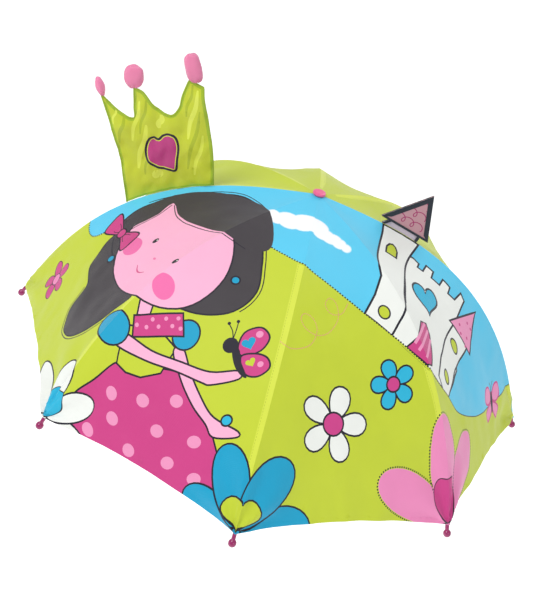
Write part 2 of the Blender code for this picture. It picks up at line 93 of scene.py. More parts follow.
def srgb(red, green, blue):
    """Linear RGB of a colour given as 0 to 255."""
    return tuple((c / 255 / 12.92) if c < 11 else ((c / 255 + 0.055) / 1.055) ** 2.4 for c in (red, green,
                                                                                               blue))


LIME = srgb(196, 211, 50)
# A lighter lime: a painted highlight along the rib seams, and the printed trim inside the crown's heart.
SEAM_HIGHLIGHT_AND_HEART_TRIM = srgb(214, 226, 72)
SKY = srgb(88, 203, 240)
CLOUD = srgb(250, 252, 255)
INK = srgb(28, 24, 40)
HAIR = srgb(62, 57, 62)
SKIN = srgb(250, 180, 212)
BLUSH = srgb(240, 110, 172)
MAGENTA = srgb(206, 62, 134)
DOT = srgb(238, 150, 192)
BLUE = srgb(6, 160, 202)
BRIGHT_BLUE = srgb(36, 182, 220)
WHITE = srgb(240, 243, 238)
PETAL_PINK = srgb(238, 140, 190)
DEEP_PINK = srgb(206, 62, 138)
THREAD = srgb(168, 186, 38)


# ---------------------------------------------------------------- the dome's surface

def slope(share):
    t = min(max(share, 0.0), 1.0)
    return math.radians(SLOPE_AT_NOTCH + (SLOPE_AT_TIP - SLOPE_AT_NOTCH) * t * t * (3 - 2 * t))


def rib_line():
    """(radius, height from the hinges) at every millimetre of the rib."""
    found = [(HINGE_RADIUS, 0.0)]
    for k in range(int(RIB_ARC)):
        angle = slope((k + 0.5) / RIB_ARC)
        radius, height = found[-1]
        found.append((radius + math.cos(angle), height - math.sin(angle)))
    return found


RIB_LINE = rib_line()


def rib_point(arc, lift=0.0):
    """(radius, height from the hinges) at a distance along the rib, lifted square to it. Millimetres."""
    k = int(min(max(math.floor(arc), 0), len(RIB_LINE) - 2))
    (r0, z0), (r1, z1) = RIB_LINE[k], RIB_LINE[k + 1]
    part = arc - k
    angle = slope(arc / RIB_ARC)
    return r0 + (r1 - r0) * part + lift * math.sin(angle), z0 + (z1 - z0) * part + lift * math.cos(angle)


def heading(angle):
    """The flat direction at an angle in radians from +X."""
    return Vector((math.cos(angle), math.sin(angle)))


def rib_azimuth(number):
    """A rib's direction in radians, counted from +X."""
    return (number + 0.5) * 2 * HALF - math.pi / 2


def rib_matrix(number):
    """From a rib's own plane in millimetres, with +X out along it and the hinges at z 0, to the world."""
    turn = Matrix.Rotation(rib_azimuth(number), 4, "Z")
    return Matrix.Translation((0, 0, HINGE_HEIGHT * MM)) @ turn @ Matrix.Scale(MM, 4)


def on_pattern(arc, azimuth):
    """The pattern's point at a distance from the hinges along the cloth, at an azimuth in degrees."""
    gore = round(azimuth / 45) * 45
    reach = (arc + HINGE_RADIUS) * math.cos(HALF) / math.cos(math.radians(azimuth - gore))
    return Vector((reach * math.sin(math.radians(azimuth)), -reach * math.cos(math.radians(azimuth))))


def stretch_at(point):
    """How much wider the pattern is than the cloth at a point, across the gore."""
    arc = max(point.length - HINGE_RADIUS, 20)
    return (arc + HINGE_RADIUS) / rib_point(arc)[0]


TIPS = [heading(rib_azimuth(n)) * (FABRIC_OUT + HINGE_RADIUS) for n in range(RIBS)]


def wrinkle(point):
    """How far the cloth stands off its smooth shape at a pattern point: folds fanning out of each tip, small
    puckers along the seams, and broad slack between."""
    x, y = point
    away = math.hypot(x, y)
    spot = Vector((x, y, 0))
    along = math.atan2(y, x)
    number = round((along + math.pi / 2) / (2 * HALF) - 0.5)
    aside = abs(away * math.sin(along - rib_azimuth(number)))
    rise = 2.2 * noise.noise(spot / 50) * min(away / 150, 1)
    rise += 0.9 * noise.noise(Vector((x / 19, y / 19, 7.0))) * min(away / 200, 1)
    rise *= min(0.15 + aside / 24, 1)
    for rib, tip in enumerate(TIPS):
        apart = point - tip
        far = apart.length
        if far > 190:
            continue
        inward = math.atan2(-tip.y, -tip.x)
        angle = (math.atan2(apart.y, apart.x) - inward + math.pi) % (2 * math.pi) - math.pi
        fold = math.sin(9 * angle + 1.4 * rib + 0.9 * math.sin(far / 30))
        fade = min(angle * angle / 0.02, 1)
        rise += 3.2 * fold * fade * math.exp(-((far - 46) / 54) ** 2)
        rise += 0.7 * math.sin(17 * angle + 2.1 * rib) * fade * math.exp(-((far - 24) / 26) ** 2)
    if aside < 22 and away > 40:
        pucker = math.sin(away / 2.9 + 2.0 * math.sin(away / 37 + number))
        rise += 0.28 * pucker * math.exp(-aside / 9) * min(aside / 3, 1)
    return rise


def cloth_point(point, number, side, lift):
    """The world point of a pattern point on half a gore."""
    rib = rib_azimuth(number)
    middle = rib + side * HALF
    out = heading(middle)
    across = heading(rib) - out * math.cos(HALF)
    across.normalize()
    reach = point.dot(out) / math.cos(HALF)
    arc = reach - HINGE_RADIUS
    towards = 1 - point.dot(across) / (reach * math.sin(HALF))
    towards = min(max(towards, 0.0), 1.0)
    ease = towards * (2 - towards)
    inset = FABRIC_SAG * math.sin(math.pi * min(max(arc / RIB_ARC, 0), 1)) * ease
    hem_at = FABRIC_OUT - HEM_RISE * ease
    hem = 0.4 if arc > hem_at - HEM_WIDTH else 0.0
    angle = slope(arc / RIB_ARC)
    radius, height = rib_point(arc, 0.0)
    flat = point * (radius / reach)
    outward = Vector((flat.x, flat.y, 0)).normalized()
    quiet = min(max((arc - 12) / 40, 0), 1)
    stand = lift - inset + quiet * wrinkle(point) + hem * min(lift - CLOTH_LIFT + 0.2, 1)
    place = Vector((flat.x, flat.y, height)) + stand * (outward * math.sin(angle)
                                                        + Vector((0, 0, math.cos(angle))))
    return Vector((place.x * MM, place.y * MM, (place.z + HINGE_HEIGHT) * MM))


# ---------------------------------------------------------------- drawing

def curve_through(points, steps=8, closed=True):
    """A smooth line through a few points."""
    points = [Vector(p[:2]) for p in points]
    count = len(points)
    found = []
    for k in range(count if closed else count - 1):
        if closed:
            a, b, c, d = (points[(k + j) % count] for j in (-1, 0, 1, 2))
        else:
            a, b, c, d = (points[min(max(k + j, 0), count - 1)] for j in (-1, 0, 1, 2))
        for j in range(steps):
            t = j / steps
            found.append(0.5 * ((2 * b) + (c - a) * t + (2 * a - 5 * b + 4 * c - d) * t * t
                                + (3 * b - a - 3 * c + d) * t * t * t))
    if not closed:
        found.append(points[-1])
    return found


def straight(points, step=12.0, closed=True):
    """The outline with its long sides divided."""
    points = [Vector(p[:2]) for p in points]
    found = []
    pairs = list(zip(points, points[1:] + points[:1]))
    for a, b in pairs if closed else pairs[:-1]:
        count = max(1, round((b - a).length / step))
        found += [a.lerp(b, k / count) for k in range(count)]
    if not closed:
        found.append(points[-1])
    return found


def area_of(points):
    return sum(a.x * b.y - b.x * a.y for a, b in zip(points, points[1:] + points[:1])) / 2


def grown(points, by):
    """An outline moved outwards square to itself."""
    way = 1 if area_of(points) > 0 else -1
    found = []
    for a, b, c in zip(points[-1:] + points[:-1], points, points[1:] + points[:1]):
        before, after = (b - a), (c - b)
        if before.length < 1e-9 or after.length < 1e-9:
            continue
        before.normalize(), after.normalize()
        normal = Vector((before.y + after.y, -before.x - after.x))
        if normal.length < 0.2:
            normal = Vector((before.y, -before.x))
        normal.normalize()
        lean = max(normal.dot(Vector((after.y, -after.x))), 0.6)
        found.append(b + way * normal * by / lean)
    return found


def band(line, width, taper=False):
    """The outline of a stroke along a line."""
    left, right = [], []
    for k, spot in enumerate(line):
        way = (line[min(k + 1, len(line) - 1)] - line[max(k - 1, 0)]).normalized()
        wide = width / 2
        if taper:
            wide *= max(math.sin(math.pi * (0.12 + 0.76 * k / (len(line) - 1))), 0.25)
        square = Vector((-way.y, way.x)) * wide
        left.append(spot + square)
        right.append(spot - square)
    return left + right[::-1]


class Print:
    """Flat shapes in painter's order, each an outline and its colour."""

    def __init__(self):
        self.shapes = []

    def fill(self, colour, outline):
        self.shapes.append((colour, outline))

    def inked(self, colour, outline, width=INK_WIDTH):
        """A shape with an ink line round it."""
        self.fill(INK, grown(outline, width / 2))
        self.fill(colour, grown(outline, -width / 2))

    def stroke(self, line, width=INK_WIDTH, colour=INK, taper=False):
        self.fill(colour, band(line, width, taper))

    def dashes(self, line, pitch, share, width, colour=INK):
        """Short stitches along a line."""
        lengths = [0.0]
        for a, b in zip(line, line[1:]):
            lengths.append(lengths[-1] + (b - a).length)

        def at(wanted):
            k = next((j for j in range(1, len(lengths)) if lengths[j] >= wanted), len(lengths) - 1)
            span = max(lengths[k] - lengths[k - 1], 1e-9)
            return line[k - 1].lerp(line[k], (wanted - lengths[k - 1]) / span)

        for k in range(int(lengths[-1] / pitch)):
            start, end = at(k * pitch), at((k + share) * pitch)
            if (end - start).length > 1e-6:
                self.fill(colour, band([start, end], width))


class Spot:
    """A motif's own axes on the cloth: x along the gore's width, y towards the cap, in true millimetres,
    turned by some degrees."""

    def __init__(self, centre, turn=0.0, size=1.0):
        self.centre = Vector(centre)
        self.up = -self.centre.normalized()
        self.right = Vector((self.up.y, -self.up.x)) * stretch_at(self.centre)
        self.turn, self.size = math.radians(turn), size

    def __call__(self, x, y):
        c, s = math.cos(self.turn), math.sin(self.turn)
        x, y = self.size * (c * x - s * y), self.size * (s * x + c * y)
        return self.centre + self.right * x + self.up * y

    def oval(self, x, y, wide, tall=None, turn=0.0, count=20):
        tall = wide if tall is None else tall
        c, s = math.cos(math.radians(turn)), math.sin(math.radians(turn))
        found = []
        for k in range(count):
            t = 2 * math.pi * k / count
            u, v = wide * math.cos(t), tall * math.sin(t)
            found.append(self(x + c * u - s * v, y + s * u + c * v))
        return found

    def shape(self, points, steps=6):
        return [self(*p) for p in curve_through(points, steps)]

    def line(self, points, steps=6):
        return [self(*p) for p in curve_through(points, steps, closed=False)]

    def heart(self, x, y, size, turn=0.0, count=28):
        c, s = math.cos(math.radians(turn)), math.sin(math.radians(turn))
        found = []
        for k in range(count):
            t = 2 * math.pi * (k + 0.5) / count
            u = size * math.sin(t) ** 3
            v = size * (0.81 * math.cos(t) - 0.31 * math.cos(2 * t) - 0.125 * math.cos(3 * t) - 0.06
                        * math.cos(4 * t))
            found.append(self(x + c * u - s * v, y + s * u + c * v))
        return found

    def petal(self, angle, length, width, root=0.0, count=18):
        """A petal that points along an angle, in degrees from the motif's x."""
        a = math.radians(angle)
        out, side = (math.cos(a), math.sin(a)), (-math.sin(a), math.cos(a))
        found = []
        for k in range(count):
            t = 2 * math.pi * k / count
            u = root + (length - root) * (1 - math.cos(t)) / 2
            v = width / 2 * math.sin(t) * (0.62 + 0.38 * (u - root) / (length - root))
            found.append(self(out[0] * u + side[0] * v, out[1] * u + side[1] * v))
        return found


def draw_dots(art, centres, colour, wide, tall=None, count=10):
    for centre in centres:
        art.fill(colour, Spot(centre).oval(0, 0, wide, tall, 0, count))


def draw_flower(art, spot, petals, length, width, colour, heart, start=90.0, line=INK_WIDTH):
    for k in range(petals):
        art.inked(colour, spot.petal(start + 360 * k / petals, length, width, length * 0.12), line)
    art.inked(heart, spot.oval(0, 0, length * 0.30), line)


def draw_sky(art):
    border = [(-300, -90), (-286, -134), (-262, -148), (-233, -136), (-120, -150), (-10, -117)]
    edge = [on_pattern(*p) for p in ((123, -4), (125, 10), (131, 24), (163, 40), (192, 51), (220, 59),
                                     (263, 67.5), (286, 70), (313, 74), (340, 77.5), (366, 84.5), (386, 94),
                                     (398, 112.5))]
    border_line = curve_through(border[:4], 8, closed=False)
    edge_line = curve_through(edge, 8, closed=False)
    corners = [Vector((600, 240)), Vector((0, 600)), Vector((-600, 240)), Vector((-400, -120))]
    art.fill(SKY, border_line + curve_through(border[3:], 4, closed=False)[1:] + edge_line + corners)
    art.dashes(border_line, 3.8, 0.55, 2.0)
    return edge_line


def draw_edge(art, edge_line):
    """The dotted line where the sky and the castle meet the ground, with a clean strip of ground under it."""
    strip = band(edge_line, 5.0)
    count = len(edge_line)
    lower = strip[:count] if strip[0].length > strip[-1].length else strip[:count - 1:-1]
    art.fill(LIME, edge_line + lower[::-1])
    art.dashes(edge_line[:66], 3.8, 0.55, 2.0)
    art.stroke(edge_line[64:], 1.2)


def draw_cloud(art):
    """One long cloud: overlapping puffs that swell and then tail off."""
    puffs = [((-37, -80), 8, 6), ((-21, -76), 14, 9), ((-3, -70), 18, 13), ((15, -62), 20, 15),
             ((29, -58), 18, 13), ((43, -62), 15, 10), ((54, -60), 14, 9), ((65, -59), 10, 8),
             ((75, -58), 7, 6)]
    rims = [Spot(centre).oval(0, 0, wide * 0.9, tall, 0, 22) for centre, wide, tall in puffs]
    for rim in rims:
        art.fill(srgb(190, 230, 248), grown(rim, 1.2))
    for rim in rims:
        art.fill(CLOUD, rim)


def draw_figure(art):
    """A storybook girl: an oval face, a bob with a pony tail, puffed sleeves and a dotted skirt. The face's
    features lie along the gore's own axes."""
    skirt = curve_through([(-92, -332), (-58, -326), (-22, -312), (6, -311), (40, -325), (76, -350),
                           (116, -385), (168, -446), (0, -470), (-150, -460), (-140, -395), (-116, -362)],
                          6)
    art.inked(MAGENTA, skirt)
    draw_dots(art, ((-84, -366), (-37, -356), (8, -338), (-68, -390), (2, -377), (58, -367), (-26, -412),
                    (37, -402), (84, -402), (-98, -415)), DOT, 8.4, 7.1, 20)

    pony = curve_through([(-206, -140), (-232, -156), (-240, -196), (-222, -232), (-238, -262),
                          (-232, -292), (-202, -309), (-164, -302), (-132, -276), (-116, -254),
                          (-150, -216), (-196, -184)], 7)
    art.inked(HAIR, pony)
    loose = grown(pony, 4.2)
    art.stroke(loose[len(loose) // 4:len(loose) * 2 // 3], 1.4)
    bob = curve_through([(-222, -126), (-196, -101), (-150, -80), (-108, -62), (-76, -56), (-46, -68),
                         (-20, -94), (-6, -126), (8, -150), (24, -186), (14, -220), (-20, -240),
                         (-66, -247), (-120, -240), (-190, -200), (-222, -160)], 6)
    art.inked(HAIR, bob)
    loose = grown(bob, 4.2)
    art.stroke(loose[len(loose) // 16:len(loose) * 5 // 8], 1.4)

    art.inked(SKIN, straight([(-106, -236), (-84, -236), (-80, -270), (-96, -276)], 8))
    bodice = straight([(-104, -292), (-93, -334), (-76, -338), (-54, -335), (-30, -320), (-26, -288),
                       (-60, -278)], 8)
    art.inked(LIME, bodice)

    arm_right = curve_through([(-18, -284), (8, -304), (40, -323), (66, -333), (104, -333), (106, -340),
                               (78, -352), (60, -344), (32, -334), (0, -316), (-28, -292)], 5)
    art.inked(SKIN, arm_right)
    art.inked(BRIGHT_BLUE, Spot((83, -329)).oval(0, 0, 6.2))
    arm_left = curve_through([(-104, -300), (-56, -303), (-12, -298), (30, -292), (62, -276), (68, -284),
                              (40, -304), (26, -307), (-12, -310), (-58, -316), (-106, -316)], 5)
    art.inked(SKIN, arm_left)
    art.inked(BLUE, Spot((-119, -300)).oval(0, 0, 22, 20, 35, 24))
    art.inked(BLUE, Spot((-24, -269)).oval(0, 0, 16, 18, 0, 24))
    yoke = straight([(-99, -278), (-42, -249), (-26, -272), (-88, -300)], 9)
    art.inked(MAGENTA, yoke)
    draw_dots(art, ((-90, -286), (-77, -283), (-74, -272), (-62, -276), (-58, -264), (-46, -268), (-44, -257),
                    (-35, -266)), DOT, 2.5)

    head = Spot((-112, -176))
    art.inked(SKIN, head.oval(0, 0, 92, 77, 0, 48))
    art.fill(SKIN, straight([(-188, -130), (-160, -94), (-124, -126)], 8))
    for centre in ((-205, -190), (-8, -184)):
        art.inked(BLUE, Spot(centre).oval(0, 0, 5.4))
    fringe = curve_through([(-226, -152), (-194, -135), (-172, -117), (-160, -95), (-138, -115), (-95, -131),
                            (-17, -138), (2, -118), (-40, -66), (-110, -60), (-190, -96)], 6)
    art.fill(HAIR, fringe)
    art.stroke(curve_through([(-214, -149), (-194, -138), (-172, -120), (-160, -98)], 6, False), 1.3, INK)
    art.stroke(curve_through([(-157, -98), (-138, -119), (-95, -135), (-22, -142)], 6, False), 1.3, INK)
    for way in (-1, 1):
        art.fill(BLUSH, head.oval(way * 54, -32, 16, 14, 0, 26))
        art.fill(INK, head.oval(way * 33, -6, 3.4, 4.8, 0, 16))
        art.fill(WHITE, head.oval(way * 33 + 1.1, -4.2, 1.0, 1.2, 0, 8))
    art.stroke(head.line([(-12, -42), (-6, -46), (0, -47.5), (6, -46), (12, -42)], 6), 2.0,
               srgb(214, 60, 128), True)
    art.fill(srgb(238, 120, 170), head.oval(0, -22, 2.8, 1.8, 0, 10))

    knot = Spot((-214, -148), 24, 1.15)
    for way in (1, -1):
        wing = [(0, 0), (way * 12, 9), (way * 26, 14), (way * 28, 0), (way * 25, -13), (way * 12, -8)]
        art.inked(MAGENTA, knot.shape(wing, 5))
        for lean in (0.3, -0.25):
            art.stroke(knot.line([(way * 6, lean * 6), (way * 11, lean * 16), (way * 15, lean * 20)], 4), 1.0)
    art.inked(MAGENTA, knot.oval(0, 0, 6, 6.5))


def draw_butterfly(art, spot, wings, body=INK):
    """A butterfly seen from its side, with two wings on one side of the body."""
    art.inked(wings, spot.shape([(2, 12), (10, 26), (26, 28), (33, 16), (24, 4), (6, 2)], 6))
    art.inked(wings, spot.shape([(4, 2), (18, 2), (29, -5), (30, -16), (18, -22), (6, -16)], 6))
    art.fill(BLUE, spot.heart(13, 14, 7.0, 10))
    art.fill(DOT, spot.oval(24, 21, 3.6))
    art.fill(LIME, spot.heart(13, -6, 5.0, 20))
    art.fill(DOT, spot.oval(22, -10, 3.0))
    art.fill(body, spot.shape([(-4, 10), (3, 10), (4, -4), (8, -20), (3, -18), (-3, -6)], 6))
    art.fill(body, spot.oval(-5, 16, 8, 8))
    for x in (-4, 5):
        art.stroke(spot.line([(-2, 22), (x * 0.4, 30), (x, 38)], 6), 1.3)
        art.fill(body, spot.oval(x, 39, 1.8, 1.8, 0, 10))


def draw_loops(art):
    path = [(121, -124), (123, -140), (113, -151), (101, -148), (100, -137), (111, -136), (124, -150),
            (125, -172), (116, -187), (102, -192), (90, -188), (89, -179), (100, -175), (112, -182),
            (117, -200), (109, -217), (97, -227), (84, -226)]
    art.dashes(curve_through(path, 8, closed=False), 2.6, 0.5, 1.1, srgb(228, 112, 140))


def draw_castle(art):
    """A plain castle: a tall tower, a wall with merlons, a door, and a small tower with a pointed roof."""
    def at(*pairs):
        return [on_pattern(*p) for p in pairs]

    wall = at((128, 112), (136, 99), (146, 101), (157, 101), (159, 98), (168, 99), (166, 104), (179, 104),
              (183, 100), (198, 101), (196, 105), (211, 105), (215, 102), (228, 103), (228, 108),
              (240, 107), (250, 96), (262, 90), (300, 84), (312, 74), (286, 70), (263, 67), (236, 62),
              (205, 55), (180, 70), (150, 86))
    art.inked(WHITE, straight(wall, 12), 2.6)
    tower = at((84, 112), (92, 101), (101, 86), (112, 72), (124, 67), (138, 65), (165, 58), (192, 51),
               (205, 55), (221, 59), (204, 63), (188, 67), (171, 73), (159, 80), (149, 88), (142, 98),
               (138, 112))
    art.inked(WHITE, curve_through(tower[:5], 4, False) + straight(tower[5:10], 12, False)
              + curve_through(tower[10:], 4, False), 2.8)
    window = Spot(on_pattern(118, 92), -70, 1.15)
    art.inked(LIME, straight([window(x, y) for x, y in ((-7, -9), (7, -9), (7, 2), (4, 8), (0, 10), (-4, 8),
                                                        (-7, 2))], 20), 2.6)
    art.inked(LIME, Spot(on_pattern(190, 59)).oval(0, 0, 7.5, 8.5, 0, 20), 2.0)
    art.inked(BRIGHT_BLUE, Spot(on_pattern(197, 86.5), -42).heart(0, 0, 24.0, 0, 34), 2.8)
    door = straight(at((236, 62.5), (224, 67), (212, 74), (220, 77), (234, 76), (248, 73), (262, 69),
                       (258, 67)), 8)
    art.inked(MAGENTA, door, 2.2)
    for near, far in (((231, 65.5), (218, 76)), ((240, 66), (228, 76)), ((249, 67.5), (239, 75))):
        art.stroke([on_pattern(*near), on_pattern(*far)], 4.0, DOT)
    side_tower = at((250, 95), (256, 84), (266, 77), (280, 71.5), (297, 71.5), (313, 74), (304, 79),
                    (297, 83), (290, 94))
    art.inked(WHITE, straight(side_tower, 12), 2.6)
    art.inked(DOT, straight(at((243, 93), (264, 109), (300, 94.5)), 10), 2.6)
    draw_dots(art, at((258, 97), (266, 102), (268, 95), (280, 97), (276, 102), (286, 94)), MAGENTA, 2.2)
    art.inked(LIME, Spot(on_pattern(273, 88)).oval(0, 0, 6.5, 10.0, -20, 16), 2.2)
    art.inked(LIME, Spot(on_pattern(291, 76)).oval(0, 0, 5.0, 9.5, -20, 16), 2.2)


def draw_corner(art, number, petals, colour, heart, stitched=False, heart_shape=True, size=1.0):
    """A flower that grows out of a rib's tip over the two gores that meet there."""
    spot = Spot(TIPS[number] * 0.998)
    art.fill(colour, spot.oval(0, 0, 14))
    for angle, length, width in petals:
        petal = spot.petal(angle, length, width, 6.0, 30)
        if stitched:
            rim = grown(petal, 1.6)
            art.dashes(rim + rim[:1], 3.8, 0.55, 2.0)
            art.fill(colour, petal)
        else:
            art.inked(colour, petal)
    if heart_shape:
        art.inked(heart, spot.heart(0, 26, 23, 0, 34), INK_WIDTH)
    else:
        art.inked(heart, spot.shape([(size * x, size * y) for x, y in ((0, 2), (15, 26), (18, 46), (10, 62),
                                                                       (0, 59), (-10, 63), (-18, 46),
                                                                       (-15, 26))], 6), 1.3)


def draw_print():
    art = Print()
    edge_line = draw_sky(art)
    draw_cloud(art)
    draw_castle(art)
    draw_edge(art, edge_line)
    draw_loops(art)
    draw_figure(art)
    draw_butterfly(art, Spot((52, -266), 28, 1.15), MAGENTA)
    draw_flower(art, Spot((198, -244), -12), 5, 43, 31, WHITE, DEEP_PINK)
    draw_flower(art, Spot((227, -152), 8), 5, 29, 23, BRIGHT_BLUE, DEEP_PINK)
    draw_flower(art, Spot((-320, -200), 6), 5, 26, 19, DEEP_PINK, PETAL_PINK, line=1.2)
    small = Spot(on_pattern(389, 100.5), -25, 1.3)
    for side in (-1, 1):
        for wing in (((1, 3), (7, 14), (17, 15), (20, 5), (12, -1)), ((1, -1), (10, -3), (17, -9),
                                                                      (11, -17), (3, -10))):
            outline = small.shape([(side * x, y) for x, y in wing], 6)
            art.fill(DEEP_PINK, grown(outline, 1.4))
            art.fill(PETAL_PINK, grown(outline, -1.2))
        art.stroke(small.line([(0, 9), (side * 1.5, 15), (side * 5, 19)], 5), 1.2)
    art.fill(INK, small.oval(0, 0, 2.6, 11))
    draw_corner(art, 0, ((141, 84, 42), (33, 95, 52), (107, 108, 45), (71, 110, 50)), BLUE, LIME)
    draw_corner(art, 1, ((166, 62, 34), (126, 130, 52), (58, 134, 54), (88, 140, 50)), PETAL_PINK,
                DEEP_PINK, True, False)
    draw_corner(art, 7, ((140, 92, 30), (24, 62, 32), (98, 82, 30), (60, 78, 34)), WHITE, BRIGHT_BLUE,
                False, False, 0.68)
    return art


# ---------------------------------------------------------------- meshes cut along the drawing

def inside(points, outline):
    """Which of an array of points are inside an outline."""
    ring = np.array([(p[0], p[1]) for p in outline])
    x, y = points[:, 0:1], points[:, 1:2]
    x0, y0 = ring[:, 0], ring[:, 1]
    x1, y1 = np.roll(x0, -1), np.roll(y0, -1)
    rise = np.where(y1 == y0, 1e-12, y1 - y0)
    crosses = ((y0 > y) != (y1 > y)) & (x < (x1 - x0) * (y - y0) / rise + x0)
    return crosses.sum(axis=1) % 2 == 1


def cut_sheet(domain, shapes, base, grid, lines=()):
    """Triangulates a flat domain so that its edges follow every shape. Returns points, triangles and
    colours."""
    low = Vector((min(p.x for p in domain), min(p.y for p in domain)))
    high = Vector((max(p.x for p in domain), max(p.y for p in domain)))
    used = []
    for colour, outline in shapes:
        if (max(p.x for p in outline) > low.x and min(p.x for p in outline) < high.x
                and max(p.y for p in outline) > low.y and min(p.y for p in outline) < high.y):
            used.append((colour, outline))
    points, edges = [], []

    def add_ring(ring, closed=True):
        ring = straight(ring, grid, closed)
        start, count = len(points), len(ring)
        points.extend(ring)
        edges.extend((start + k, start + (k + 1) % count) for k in range(count if closed else count - 1))

    add_ring(domain)
    for line in lines:
        add_ring(line, False)
    for _, outline in used:
        add_ring(outline)
    rows = int((high.y - low.y) / (grid * 0.866)) + 1
    columns = int((high.x - low.x) / grid) + 1
    nodes = [(low.x + (i + 0.5 * (j % 2)) * grid, low.y + j * grid * 0.866)
             for j in range(rows) for i in range(columns)]
    clear = grown(domain, -grid * 0.45)
    keep = inside(np.array(nodes), clear)
    points.extend(Vector(n) for n, k in zip(nodes, keep) if k)
    verts, _, faces, *_ = geometry.delaunay_2d_cdt(points, edges, [], 0, 1e-4, False)
    flat = np.array([(v.x, v.y) for v in verts])
    faces = np.array([f for f in faces if len(f) == 3])
    middles = flat[faces].mean(axis=1)
    kept = inside(middles, domain)
    faces, middles = faces[kept], middles[kept]
    colours = np.tile(np.array(base), (len(faces), 1))
    for colour, outline in used:
        ring = np.array([(p.x, p.y) for p in outline])
        near = ((middles > ring.min(axis=0)) & (middles < ring.max(axis=0))).all(axis=1)
        spots = np.flatnonzero(near)
        if len(spots):
            hit = spots[inside(middles[spots], outline)]
            colours[hit] = colour
    return verts, faces, colours


def shell(name, verts, faces, colours, top, under, pale=0.0):
    """A thin closed shell of a cut sheet. top and under place a flat point. pale lightens the underside."""
    used = sorted(set(int(i) for f in faces for i in f))
    count = len(used)
    index = {v: k for k, v in enumerate(used)}
    places = [top(verts[v]) for v in used] + [under(verts[v]) for v in used]
    upper = [tuple(index[int(i)] for i in f) for f in faces]
    lower = [tuple(count + i for i in reversed(f)) for f in upper]
    sides = {(a, b) for f in upper for a, b in zip(f, f[1:] + f[:1])}
    rim, rim_colours = [], []
    for f, colour in zip(upper, colours):
        for a, b in zip(f, f[1:] + f[:1]):
            if (b, a) not in sides:
                rim.append((b, a, count + a, count + b))
                rim_colours.append(colour)
    mesh = bpy.data.meshes.new(name)
    mesh.from_pydata([tuple(p) for p in places], [], upper + lower + rim)
    layer = mesh.color_attributes.new("Print", "FLOAT_COLOR", "CORNER")
    faded = colours * (1 - pale) + pale * 0.85
    faded = np.where(colours.sum(axis=1, keepdims=True) < 0.3, colours * 1.6 + 0.06,
                     faded) if pale else colours
    per_face = list(colours) + list(faded) + rim_colours
    values = np.ones((len(mesh.loops), 4), np.float32)
    at = 0
    for polygon, colour in zip(mesh.polygons, per_face):
        size = len(polygon.vertices)
        values[at:at + size, :3] = colour
        at += size
    layer.data.foreach_set("color", values.ravel())
    mesh.polygons.foreach_set("use_smooth", [True] * len(mesh.polygons))
    marks = {tuple(sorted((a, b))) for f in rim for a, b in ((f[0], f[1]), (f[2], f[3]))}
    for edge in mesh.edges:
        if tuple(sorted(edge.vertices)) in marks:
            edge.use_edge_sharp = True
    mesh.update()
    mesh.validate()
    item = bpy.data.objects.new(name, mesh)
    bpy.context.scene.collection.objects.link(item)
    return item


# ---------------------------------------------------------------- materials

def new_material(name, base, roughness, metallic=0.0):
    """A principled material. Returns it with its nodes, links and shader."""
    made = bpy.data.materials.new(name)
    made.use_nodes = True
    nodes, links = made.node_tree.nodes, made.node_tree.links
    shader = nodes["Principled BSDF"]
    shader.inputs["Base Color"].default_value = (*base, 1)
    shader.inputs["Roughness"].default_value = roughness
    shader.inputs["Metallic"].default_value = metallic
    return made, nodes, links, shader


def add_mottle(nodes, links, shader, source, amount, scale):
    """Varies a colour a little in brightness. source is a socket or a colour."""
    grain = nodes.new("ShaderNodeTexNoise")
    grain.inputs["Scale"].default_value = scale
    grain.inputs["Detail"].default_value = 4
    place = nodes.new("ShaderNodeTexCoord")
    links.new(place.outputs["Object"], grain.inputs["Vector"])
    spread = nodes.new("ShaderNodeMapRange")
    spread.inputs["To Min"].default_value = 1 - amount
    spread.inputs["To Max"].default_value = 1 + amount
    links.new(grain.outputs["Fac"], spread.inputs["Value"])
    tint = nodes.new("ShaderNodeVectorMath")
    tint.operation = "SCALE"
    if isinstance(source, tuple):
        tint.inputs[0].default_value = source
    else:
        links.new(source, tint.inputs[0])
    links.new(spread.outputs["Result"], tint.inputs["Scale"])
    links.new(tint.outputs["Vector"], shader.inputs["Base Color"])
    return place


def add_bump(nodes, links, shader, height, strength, distance):
    bump = nodes.new("ShaderNodeBump")
    bump.inputs["Strength"].default_value = strength
    bump.inputs["Distance"].default_value = distance
    links.new(height, bump.inputs["Height"])
    links.new(bump.outputs["Normal"], shader.inputs["Normal"])


def weave(nodes, links, place, scale):
    """Two crossed sets of fine threads, added."""
    total = nodes.new("ShaderNodeMath")
    total.operation = "ADD"
    for k, direction in enumerate(("X", "Y")):
        threads = nodes.new("ShaderNodeTexWave")
        threads.bands_direction = direction
        threads.inputs["Scale"].default_value = scale
        threads.inputs["Distortion"].default_value = 0.6
        links.new(place.outputs["Object"], threads.inputs["Vector"])
        links.new(threads.outputs["Fac"], total.inputs[k])
    return total.outputs["Value"]


